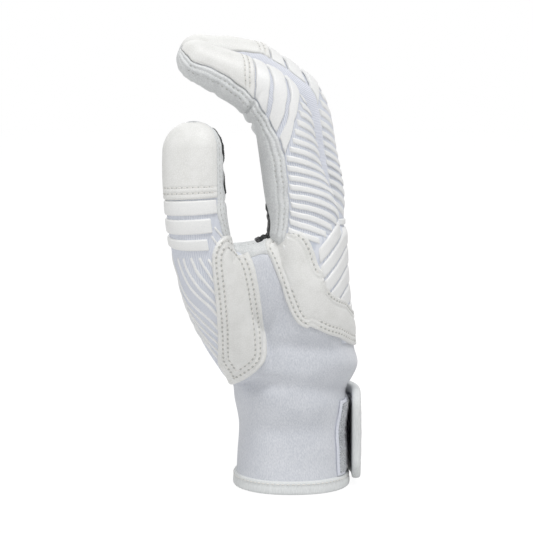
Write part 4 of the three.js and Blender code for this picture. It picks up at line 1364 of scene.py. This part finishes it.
def rowOnPatch(piece, outline, distance, keep):
    # a line of sewing inside a patch's outline, laid on its face
    tree = treeOf([piece])
    ahead = unit(np.roll(outline, -1, 0) - np.roll(outline, 1, 0))
    inward = np.stack([-ahead[:, 1], ahead[:, 0]], -1)
    area = np.sum(outline[:, 0] * np.roll(outline[:, 1], -1) - np.roll(outline[:, 0], -1) * outline[:, 1])
    inward *= math.copysign(1, area)
    runs, run = [], []
    ring = outline + inward * distance
    good = insideDistance(outline, ring) > distance - 0.25
    for k in list(range(len(ring))) + [0]:
        place = ring[k]
        hit = None
        if good[k] and keep(place):
            hit, normal, _, _ = tree.ray_cast(*chartRay(place))
        if hit is None or abs(normal[1]) < 0.12:
            if len(run) > 6:
                runs.append(run)
            run = []
        else:
            run.append((np.array(hit), np.array(normal)))
    if len(run) > 6:
        runs.append(run)
    return [(np.array([a for a, _ in r]), unit(np.array([b for _, b in r]))) for r in runs]


def laidOn(tree, start, ahead, lift, reach=7.0, deep=14.0):
    # where a ray back towards the hand meets what lies there, and how deep it went
    out, depth = np.array(start), np.full(len(start), 99.0)
    for k in range(len(start)):
        hit, _, _, distance = tree.ray_cast(Vector(start[k] + ahead[k] * reach), Vector(-ahead[k]), deep)
        if hit is not None:
            out[k], depth[k] = hit, distance - reach
    return out + ahead * np.reshape(lift, (-1, 1)), depth


def handRay(z, angle):
    # a place and the way out from it on the hand's outline, at any height
    inside = np.minimum(z, handTop)
    start = tubePoint(hand, inside, angle, 0.0)
    ahead = unit(tubePoint(hand, inside, angle, 0.6) - start)
    start = start + np.stack([0 * z, 0 * z, z - inside], -1)
    return start, ahead


def besideBand(place, row):
    # where a row follows the hand patch's front outline, and not yet the band round the back
    across, up = place
    return across < 14 and (up > 95 or across < 10) and (row < 3 or across + 0.55 * (up - 76) < 8)


for row in patch["thumbRows"]:
    for line, normals in rowOnPatch(thumbPatch, thumbPatchLine, row, lambda q: q[1] < 113 - row):
        sew("thumb_patch", line, normals, 0.02)
handPatchTree = treeOf([handPatch])
for row in patch["rows"]:
    for line, normals in rowOnPatch(handPatch, handPatchLine, row, lambda place: besideBand(place, row)):
        sew("hand_patch", line, normals, 0.02)
    for column, way in ((1, 1), (2, -1)):
        if row < 3 or column == 1:
            turn = np.linspace(-71 if column == 2 else -78, 8, 260)
            z = np.interp(turn, backBand[:, 0], backBand[:, column]) + way * row
            start, ahead = handRay(z, np.radians(turn))
            sew("hand_patch", laidOn(handPatchTree, start, ahead, 0.02)[0], ahead)
# grey beads for the needle holes on the patches: painted shade in the holes
dimple = beadShape(stitch["dimple"] * 1.15, stitch["dimple"] / 2, 0.3)
threadBead = beadShape(stitch["length"], stitch["radius"], 0.8)
for key, body in (("thumb_patch", None), ("hand_patch", "hand")):
    for kind, bead, finish, label in ((holes, dimple, "hole", "needle_holes"),
                                      (threads, threadBead, "thread", "thread")):
        piece = dress(layBeads(f"{key}_{label}", kind[key], bead), finish, 80)
        if body:
            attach(piece, body)
        else:
            bendWith(piece)
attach(handPatch, "hand")
bendWith(thumbPatch)
print("saddle patches sewn on")


# Stripes over the thumb's root and lower joint
thumbTree = treeOf([sleeves["thumb"], thumbRoot])


def thumbStripe(line):
    radius = thumbShape["width"] / 2 - 0.2
    flat = softCurve(np.array(line, float) * [1, math.radians(1) * radius], 10)
    path, run = flat / [1, radius], measured(flat)
    slope = unit(np.gradient(flat, run, axis=0))

    def shape(u, v, extra):
        place = v * run[-1]
        (s, angle), way = sample(place, run, path).T, sample(place, run, slope)
        across = (u - 0.5) * thumbCut["stripeWidth"]
        s, angle = s - way[:, 1] * across, angle + way[:, 0] * across / radius
        start = tubePoint(thumb, s, angle, 0.0)
        ahead = unit(tubePoint(thumb, s, angle, 0.6) - start)
        ends = np.minimum(v, 1 - v) * run[-1]
        lift = 0.03 + thumbCut["stripeRise"] * np.sqrt(np.maximum(0, 1 - (2 * u - 1) ** 2)) * roundEdge(ends, 1.6)
        return laidOn(thumbTree, start, ahead, lift + extra, 9, 16)[0], np.stack([place, across], -1)
    return wrapPanel("thumb_stripe", (6, max(10, int(run[-1] * 1.6))), shape, thickness=0.4)


thumbStripes = dress(joinPieces([thumbStripe(line) for line in thumbCut["stripes"]], "thumb_stripes"), "moulded")
bendWith(thumbStripes)
print("thumb striped")

# Pieces laid on the hand's skin
skinTree = BVHTree.FromPolygons([tuple(p) for p in skinPoints], [tuple(t) for t in skinTriangles.tolist()])
knuckleTree = treeOf([back] + [sleeves[name] for name in fingers])


def onSkin(z, angle, lift):
    # a place on the skin at a height and a turn round the wrist's axis, 0 at the back and 180 degrees at the palm
    start, ahead = handRay(z, angle)
    return laidOn(skinTree, start, ahead, lift, 6, 12)[0]


def turnOf(z, y, palmSide=False):
    share = np.clip(y / at(hand, "halfWidth", z), -1, 1)
    turn = np.arcsin(bent(share, at(hand, "power", z) / 2))
    return math.pi - turn if palmSide else turn


def ringArc(z):
    # distance round the hand at a height, from the middle of the back
    turn = np.linspace(-math.pi, math.pi, 721)
    run = measured(tubePoint(hand, 0 * turn + z, turn))
    return turn, run - np.interp(0, turn, run)


# chevron bars over the knuckles: tops of their lavender lines at the middle of the back, and how fast they fall
# to the sides
backBars = {"lines": [75, 83.5, 92, 100.5, 109.3, 118.2, 127.5], "level": 20, "fall": 0.0209, "gap": 0.95,
            "rise": 0.75, "top": 121.5, "turns": (-1.53, 1.42), "farLow": 84}


def makeBackBars():
    cut = backBars
    turn, arc = ringArc(100)
    away = np.linspace(np.interp(cut["turns"][0], turn, arc), np.interp(cut["turns"][1], turn, arc), 420)
    reach, steps = np.interp(away, arc, turn), np.arange(len(away))
    over = np.maximum(0, np.abs(away) - cut["level"])
    drop, slope = cut["fall"] * over ** 2, 2 * cut["fall"] * over
    half = cut["gap"] / 2 * np.sqrt(1 + slope ** 2)
    overPatch = np.interp(np.degrees(reach), backBand[:, 0], backBand[:, 2]) - 1.5
    least = np.where(away > 8, cut["farLow"] - 0.12 * away, overPatch)
    pieces = []
    for lower, upper in zip(cut["lines"], cut["lines"][1:]):
        bottom = np.maximum(lower - drop + half, least)
        head = np.minimum(upper - drop - half, cut["top"])
        middle = (bottom + head) / 2
        free = head - bottom > 1.2
        for height in (bottom, middle, head):
            start, ahead = handRay(height, reach)
            free &= laidOn(knuckleTree, start, ahead, 0)[1] < 4.2
        for a, b in stripeRuns(free, 45):
            def shape(u, v, extra):
                k = a + (b - a) * v
                place = np.interp(k, steps, away)
                z = np.interp(k, steps, bottom) * (1 - u) + np.interp(k, steps, head) * u
                ends = np.minimum(v, 1 - v) * (away[b] - away[a])
                lift = 0.08 + cut["rise"] * (1 - np.abs(2 * u - 1) ** 6) ** 0.6 * roundEdge(ends, 1.2)
                start, ahead = handRay(z, np.interp(place, arc, turn))
                return laidOn(knuckleTree, start, ahead, lift + extra)[0], np.stack([z, place], -1)
            pieces.append(wrapPanel("back_bar", (11, max(20, int((away[b] - away[a]) * 1.2))), shape,
                                    thickness=0.5))
    bars = dress(joinPieces(pieces, "knuckle_bars"), "moulded")
    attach(bars, "hand")


makeBackBars()

palmGrip = {"middle": (12.2, 81.2), "size": (26, 29.5), "radius": 27, "rise": 0.5, "pebble": 1.9,
            "pebbleRise": 0.16}


def palmGripShape(u, v, extra):
    cut = palmGrip
    turn = 2 * np.pi * v
    radius = np.minimum(1, u)
    y = cut["middle"][0] + cut["size"][0] * radius * np.cos(turn)
    z = cut["middle"][1] + cut["size"][1] * radius * np.sin(turn)
    edge = (1 - radius) * cut["radius"]
    k = 2 * math.pi / cut["pebble"]
    dots = np.cos(k * y) * np.cos(k * z * 0.58) + 0.5 * np.cos(k * 0.5 * y + 1.2) * np.cos(k * z * 0.9)
    pebbles = cut["pebbleRise"] * np.clip(dots, -0.4, 0.8) * np.clip(edge - 1, 0, 1)
    lift = 0.15 + cut["rise"] * roundEdge(edge, 0.8) + pebbles
    return onSkin(z, turnOf(z, y, True), lift + extra), np.stack([y, z], -1)


grip = dress(wrapPanel("palm_grip_print", (70, 160), palmGripShape, thickness=0.5, closed=True), "grip")
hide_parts("palm_grip")
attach(grip, "hand")

thumbGrip = {"from": 31, "to": 2.5, "turn": (97, 262), "width": 30, "wave": 0.1, "waveRun": 2.2,
             "lobe": 0.3, "lobeAt": 99, "lobeWidth": 5.5, "base": 1.0, "rise": 0.6, "pattern": 0.12}


def thumbGripShape(u, v, extra):
    cut = thumbGrip
    s = thumb["length"] - cut["from"] + (cut["from"] - cut["to"]) * u
    angle = np.radians(cut["turn"][0] + (cut["turn"][1] - cut["turn"][0]) * v)
    lobe = (cut["lobe"] * hump(s, cut["lobeAt"], cut["lobeWidth"]) - 0.04) * (v < 0.5)
    angle = angle + (cut["wave"] * np.sin(s / cut["waveRun"]) + lobe) * (1 - 2 * v)
    edge = np.minimum(np.minimum(u, 1 - u) * (cut["from"] - cut["to"]), np.minimum(v, 1 - v) * cut["width"])
    lift = cut["base"] + cut["rise"] * roundEdge(edge, 1.2)
    lift = lift + cut["pattern"] * np.sin(s * 3.1) * np.sin(angle * 34)
    points = tubePoint(thumb, s, angle, lift + creases("thumb", thumb, s, angle) + extra)
    return points, np.stack([s, angle * fingerRadius], -1)


pad = dress(wrapPanel("thumb_grip_print", (60, 80), thumbGripShape, thickness=0.6), "grip")
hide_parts("thumb_grip")
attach(pad, "thumb_stall")

# black grip gathered over the crotch between the thumb and the index finger
ruffle = {"rise": 0.75, "lumps": 0.55, "indexTurn": (-203, -157), "indexRun": (-9, 17)}


def crotchField(points):
    x, y, z = points.T
    return np.minimum(np.minimum(insideDistance(crotchLine, sideChart(points)), -24 - y),
                      13 + x * 0.9 + (z - 112))


crotch = panelFromSkin("crotch_grip_edge", [crotchField], crotchField,
                       lambda d, p: 0.3 + ruffle["rise"] * roundEdge(np.clip(d, 0, 9), 1.0)
                       + ruffle["lumps"] * np.sin(p[:, 0] * 1.5 + 0.7) * np.cos(p[:, 1] * 1.1), "grip", 0.9, 1)


def indexRuffleShape(u, v, extra):
    low, high = ruffle["indexRun"]
    s = low + (high - low) * u
    wide = 0.3 + 0.7 * np.sqrt(np.clip(1 - (2 * u - 1) ** 2, 0, 1))
    first, last = ruffle["indexTurn"]
    angle = np.radians((first + last) / 2 + (last - first) * (v - 0.5) * wide)
    edge = np.minimum(np.minimum(u, 1 - u) * (high - low), np.minimum(v, 1 - v) * 11 * wide)
    lift = 0.95 + 0.5 * roundEdge(edge, 2.0) + 0.3 * ripple(s * 1.3, angle * 3, 4) * np.clip(edge, 0, 1)
    return tubePoint(fingers["index"], s, angle, lift + extra), np.stack([s, angle * fingerRadius], -1)


indexRuffle = dress(wrapPanel("index_grip_edge", (40, 24), indexRuffleShape, thickness=0.8), "grip")
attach(crotch, "hand")
bendWith(indexRuffle)
crotchSeam = np.array([(-1.8, 116.2), (-11.35, 109.4), (-18.2, 106.7), (-21.3, 107.6), (-26.3, 114.4)])
for gap in patch["rows"]:
    line = softCurve(crotchSeam + [0, gap], 20)
    spots = [skinTree.ray_cast(*chartRay(place)) for place in line]
    spots = [(np.array(hit), np.array(normal)) for hit, normal, _, _ in spots
             if hit is not None and normal[1] < -0.15]
    if len(spots) > 6:
        sew("crotch", np.array([a for a, b in spots]), np.array([b for a, b in spots]), 0.2, threadToo=False)
crotchHoles = dress(layBeads("crotch_needle_holes", holes["crotch"],
                             beadShape(stitch["slitLength"], stitch["slitWidth"], 0.5)), "hole", 80)
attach(crotchHoles, "hand")
print("grips and knuckle bars printed")

# Hem, inner elastic and closure
hem = {"height": 6.0, "outer": 1.2, "inner": -2.5, "row": 4.7}


def hemShape(u, v, extra):
    turn, around = 2 * np.pi * u, 2 * np.pi * v
    c, d = np.cos(around), np.sin(around)
    middle, half = (hem["outer"] + hem["inner"]) / 2, (hem["outer"] - hem["inner"]) / 2
    pucker = 0.05 * np.sin(turn * 58) + 0.1 * ripple(turn * 3, v * 0, 5)
    welt = 0.3 * hump(bent(d, 0.42), 0.42, 0.12) * (c > 0)
    lift = middle + (half + extra) * bent(c, 0.42) + pucker * (c > 0) - welt
    z = hem["height"] / 2 + (hem["height"] / 2 - 0.04 + extra) * bent(d, 0.42)
    return tubePoint(hand, z, turn, lift), np.stack([around * 3, turn * 30], -1)


binding = dress(wrapPanel("hem_tape", (330, 48), hemShape, closed=True), "tape")
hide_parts("hem_binding")
turn = np.linspace(0, 2 * math.pi, 500)
line, normals = tubeLine(hand, np.full(500, hem["row"]), turn, hem["outer"] - 0.02)
sew("hem", line, normals)

loop = {"low": 7.2, "high": 39.2, "near": -19.5, "far": 16.5, "rise": 0.95, "rim": 1.1, "rimRise": 0.55}


def loopShape(u, v, extra):
    z = loop["low"] + (loop["high"] - loop["low"]) * u
    y = loop["near"] + (loop["far"] - loop["near"]) * v
    edge = np.minimum(np.minimum(u, 1 - u) * (loop["high"] - loop["low"]),
                      np.minimum(v, 1 - v) * (loop["far"] - loop["near"]))
    lift = 0.1 + loop["rise"] * roundEdge(edge, 0.7) + 0.22 * ripple(z * 1.7, y * 1.9, 2)
    lift = lift + 0.8 * ease((-y - 11) / 3)
    return onSkin(z, turnOf(z, y), lift + extra), np.stack([z, y], -1)


def loopRimShape(u, v, extra):
    # the jersey edge that the pile patch is welded and sewn down by
    rim = loop["rim"]
    z = loop["low"] - rim + (loop["high"] - loop["low"] + 2 * rim) * u
    y = loop["near"] - rim + (loop["far"] - loop["near"] + 2 * rim) * v
    edge = np.minimum(np.minimum(u, 1 - u) * 34, np.minimum(v, 1 - v) * 38)
    lift = 0.05 + loop["rimRise"] * roundEdge(edge, 0.5) + 0.7 * ease((-y - 11) / 3)
    return onSkin(z, turnOf(z, y), lift + extra), np.stack([z, y], -1)


pile = dress(wrapPanel("loop_pile_patch", (70, 90), loopShape, thickness=1.2), "loop")
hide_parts("loop_patch")
pileRim = dress(wrapPanel("loop_patch_edge", (60, 60), loopRimShape, thickness=1.0), "wallKnit")
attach(pileRim, "hand")
z0, z1, y0, y1 = loop["low"] + 1.4, loop["high"] - 1.4, loop["near"] + 1.5, loop["far"] - 1.5
for z, y in (((z0, z1), (y0, y0)), ((z0, z1), (y1, y1)), ((z1, z1), (y0, y1)), ((z0, z0), (y0, y1))):
    z, y = np.linspace(*z, 80), np.linspace(*y, 80)
    points = onSkin(z, turnOf(z, y), 1.1 + 0 * z)
    sew("loop", points, unit(onSkin(z, turnOf(z, y), 1.6 + 0 * z) - points))

elastic = {"low": 37.5, "high": 45.5}


def elasticShape(u, v, extra):
    z = elastic["low"] + (elastic["high"] - elastic["low"]) * u
    turn = np.pi / 2 + np.pi * (0.03 + 0.94 * v)
    gather = 0.22 * np.sin(turn * 42) * np.sin(np.pi * u)
    lift = -1.75 - 0.75 * roundEdge(np.minimum(u, 1 - u) * 8, 0.6) - gather - extra
    return tubePoint(hand, z, turn, lift), np.stack([z, turn * 28], -1)


band = dress(wrapPanel("inner_wrist_elastic", (14, 260), elasticShape, thickness=0.6), "elastic")
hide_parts("wrist_elastic")

strap = {"turns": (0.19, 0.144, 0.1, 0.056, 0.014), "standOff": 3.3, "low": 3, "high": 44, "corner": 9,
         "tape": 5, "thick": 2, "tapeThick": 0.9, "freeEnd": -16.12, "anchor": 11, "wrist": (26.5, 34.25),
         "fold": (-0.4, 2.6)}
turns = np.array(strap["turns"]) * 2 * np.pi
radii = [half + strap["standOff"] for half in strap["wrist"]]
across, beside = [bent(way(turns), 2 / 2.2) * radius for way, radius in zip((np.cos, np.sin), radii)]
strapLine = softCurve(np.array([*zip(across, beside), (radii[0], strap["freeEnd"])]))
strapRun = measured(strapLine)
strapLength = strapRun[-1]


def strapPoint(s, z, out):
    inside = np.clip(s, 0, strapLength)
    ahead = unit(sample(np.minimum(inside + 0.5, strapLength), strapRun, strapLine)
                 - sample(np.maximum(inside - 0.5, 0), strapRun, strapLine))
    spot = sample(inside, strapRun, strapLine) + ahead * (s - inside)[:, None]
    spot = spot + np.stack([-ahead[:, 1], ahead[:, 0]], -1) * np.reshape(out, (-1, 1))
    return np.stack([spot[:, 0], spot[:, 1], z], -1)


def strapPanel(name, first, last, low, high, corner, base, rise, sign, finish, grid, thickness, radius=0.8,
               puff=0.0, ridges=0.0):
    def shape(u, v, extra):
        s = first + (last - first) * u
        left = np.clip(last - s, 0, corner)
        inset = corner - np.sqrt(np.maximum(0, corner ** 2 - (corner - left) ** 2))
        z = low + inset + (high - low - 2 * inset) * v
        edge = np.minimum(np.minimum(v, 1 - v) * (high - low - 2 * inset),
                          np.minimum(s - first, last - s + 0.3 * inset))
        lift = base + rise * roundEdge(edge, radius) + puff * ease(edge / 9)
        lift = lift + ridges * np.clip(edge - 1.5, 0, 1) * np.cos((v - 0.5) * 4 * np.pi)
        return strapPoint(s, z, sign * (lift + extra)), np.stack([s, z], -1)
    return dress(wrapPanel(name, grid, shape, thickness=thickness), finish)


strapCore = strapPanel("strap_tab", 1, strapLength - 0.9, 3.9, 43.1, 8.1, 0.2, 0.8, 1, "neoprene", (80, 50), 2.0,
                       1.4, 0.25)
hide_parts("strap")
hooks = strapPanel("hook_tape_patch", strapLength * 0.42, strapLength - 5.6, 8.6, 38.4, 3.4, 1.0, 1.1, -1, "hook",
                   (60, 60), 0.8, 0.5)
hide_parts("hook_patch")
badge = strapPanel("plain_strap_badge", strapLength * 0.3, strapLength - 5.6, 11.6, 35.4, 3.4, 1.25, 1.15, 1,
                   "moulded", (70, 60), 1.0, 1.3, 0.1, 0.18)
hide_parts("strap_badge")


def strapEdge():
    # the line that the binding follows round the strap, as (along, height) with the way in
    low, high, c, end = strap["low"], strap["high"], strap["corner"], strapLength
    lower = [(s, low) for s in np.linspace(1, end - c, 60)]
    lowBend = [(end - c + c * math.sin(a), low + c - c * math.cos(a))
               for a in np.linspace(0, math.pi / 2, 18)[1:]]
    free = [(end, z) for z in np.linspace(low + c, high - c, 30)[1:-1]]
    highBend = [(end - c + c * math.cos(a), high - c + c * math.sin(a)) for a in np.linspace(0, math.pi / 2, 18)]
    upper = [(s, high) for s in np.linspace(end - c, 1, 60)[1:]]
    line = np.array(lower + lowBend + free + highBend + upper)
    ahead = unit(np.gradient(line, measured(line), axis=0))
    return line, np.stack([-ahead[:, 1], ahead[:, 0]], -1)


edgeLine, edgeIn = strapEdge()
edgeRun = measured(edgeLine)


def edgePlace(run, inward):
    return sample(run, edgeRun, edgeLine) + unit(sample(run, edgeRun, edgeIn)) * np.reshape(inward, (-1, 1))


def bindingShape(u, v, extra):
    run, turn = u * edgeRun[-1], 2 * np.pi * v
    c, d = np.cos(turn), np.sin(turn)
    half = strap["thick"] / 2 + strap["tapeThick"] + 0.15
    ends = np.sqrt(np.clip(np.minimum(u, 1 - u) * 400, 0, 1))
    inward = strap["tape"] / 2 + (strap["tape"] / 2 + extra) * bent(c, 0.6) * ends
    out = (half + extra) * bent(d, 0.7) * ends + 0.06 * np.sin(run * 2.9) * (d > 0)
    spot = edgePlace(run, inward)
    return strapPoint(spot[:, 0], spot[:, 1], out), np.stack([inward + out, run], -1)


strapBinding = dress(wrapPanel("strap_edge_tape", (260, 24), bindingShape, closed=True), "tape")
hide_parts("strap_binding")
run = np.linspace(2, edgeRun[-1] - 2, 500)
spot = edgePlace(run, 3.7 + 0 * run)
points = strapPoint(spot[:, 0], spot[:, 1], 2.0 + 0 * run)
sew("strap", points, unit(strapPoint(spot[:, 0], spot[:, 1], 3.0 + 0 * run) - points))


def anchorShape(u, v, extra):
    z = strap["low"] + (strap["high"] - strap["low"]) * u
    turn = 2 * np.pi * v
    c, d = np.cos(turn), np.sin(turn)
    inner = -(radii[1] - at(hand, "halfWidth", z)) + 0.4
    outer = 2.1
    shrink = roundEdge(np.minimum(u, 1 - u) * 41, 0.9)
    s = -strap["anchor"] / 2 + (strap["anchor"] / 2 + extra) * bent(c, 0.35) * shrink
    out = (inner + outer) / 2 + ((outer - inner) / 2 + extra) * bent(d, 0.35) * shrink
    return strapPoint(s, z, out), np.stack([z, turn * 5], -1)


anchor = dress(wrapPanel("strap_sewn_end", (50, 40), anchorShape, closed=True), "wallKnit")
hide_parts("strap_anchor")
# the strap's cloth runs on into its sewn end
strapFold = strapPanel("strap_fold", -3, 5, 5, 42, 0.01, -0.15, 0.8, 1, "neoprene", (60, 40), 1.4, 0.5)
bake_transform(strapFold)
for s0 in (-9.2, -1.8):
    z = np.linspace(5.5, 41.5, 100)
    points = strapPoint(s0 + 0 * z, z, 2.12 + 0 * z)
    sew("strap_end", points, unit(strapPoint(s0 + 0 * z, z, 3 + 0 * z) - points))
for key in ("hem", "loop", "strap", "strap_end"):
    piece = dress(layBeads(key + "_thread", threads[key], threadBead), "thread", 80)
    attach(piece, "strap_tab" if key == "strap" else "hand")
for piece in (binding, pile, band, anchor):
    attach(piece, "hand")
for piece in (strapCore, hooks, badge, strapBinding):
    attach(piece, "strap_tab")
print("hem, elastic and closure made")


# Camera, floor and light
camera = {"lens": 148.8, "near": 0.05, "sensor": 36}
eye = inScene(sideView["centre"]) - sideAhead * sideView["distance"] * 0.001
bpy.ops.object.camera_add(location=tuple(eye), rotation=(math.pi / 2 - sideRise, 0, 0))
viewer = bpy.context.object
viewer.data.lens = camera["lens"]
viewer.data.sensor_width = camera["sensor"]
viewer.data.clip_start = camera["near"]
bpy.context.scene.camera = viewer

# soft boxes: power in watts, size across, and place from the glove's middle, in metres
lamps = {"key": (31, 1.2, (0.35, -1.15, 2.1)), "fill": (6, 2.0, (-1.7, -1.2, 0.7)),
         "back": (6, 1.6, (-0.4, 1.6, 1.4))}
for name, (power, size, place) in lamps.items():
    bpy.ops.object.light_add(type="AREA", location=tuple(inScene((0, 0, 100)) + np.array(place)))
    lamp = bpy.context.object
    lamp.name = name + "_softbox"
    lamp.data.energy = power
    lamp.data.shape = "DISK"
    lamp.data.size = size
    lamp.rotation_euler = Vector(-np.array(place)).to_track_quat("-Z", "Y").to_euler()

# a white world to the camera and to shiny things, and half of it as light
world = bpy.data.worlds.new("studio")
bpy.context.scene.world = world
world.use_nodes = True
plain = world.node_tree.nodes["Background"]
plain.inputs["Color"].default_value = (1, 1, 1, 1)
plain.inputs["Strength"].default_value = 0.5
white = addNode(world, "Background", {"Color": (1, 1, 1, 1), "Strength": 1.0})
rays = addNode(world, "LightPath").outputs
seen = addNode(world, "Math", {"operation": "MAXIMUM"}, {0: rays["Is Camera Ray"], 1: rays["Is Glossy Ray"]})
seen = addNode(world, "Math", {"operation": "MAXIMUM"}, {0: seen.outputs[0], 1: rays["Is Transmission Ray"]})
mix = addNode(world, "MixShader", None, {0: seen.outputs[0], 1: plain.outputs[0], 2: white.outputs[0]})
world.node_tree.links.new(mix.outputs[0], world.node_tree.nodes["World Output"].inputs["Surface"])

# paper floor: nearly white by itself to the camera, so that only the shadow shows on it
deselectAll()
bpy.ops.mesh.primitive_plane_add(size=12, location=(0, 0, float(wristAxis[2]) - 0.0002))
floor = bpy.context.object
floor.name = "studio_floor"
paper = bpy.data.materials.new("studio_floor_paint")
paper.use_nodes = True
paper.node_tree.nodes.clear()
glow = addNode(paper, "Emission", {"Strength": 0.93})
dull = addNode(paper, "BsdfDiffuse", {"Color": (0.14, 0.14, 0.14, 1)})
both = addNode(paper, "AddShader", None, {0: glow.outputs[0], 1: dull.outputs[0]})
bounce = addNode(paper, "BsdfDiffuse", {"Color": (0.8, 0.8, 0.8, 1)})
rays = addNode(paper, "LightPath").outputs
mix = addNode(paper, "MixShader", None, {0: rays["Is Camera Ray"], 1: bounce.outputs[0], 2: both.outputs[0]})
addNode(paper, "OutputMaterial", None, {"Surface": mix.outputs[0]})
floor.data.materials.append(paper)
bpy.context.scene.view_settings.view_transform = "Standard"
print("camera, floor and light set")
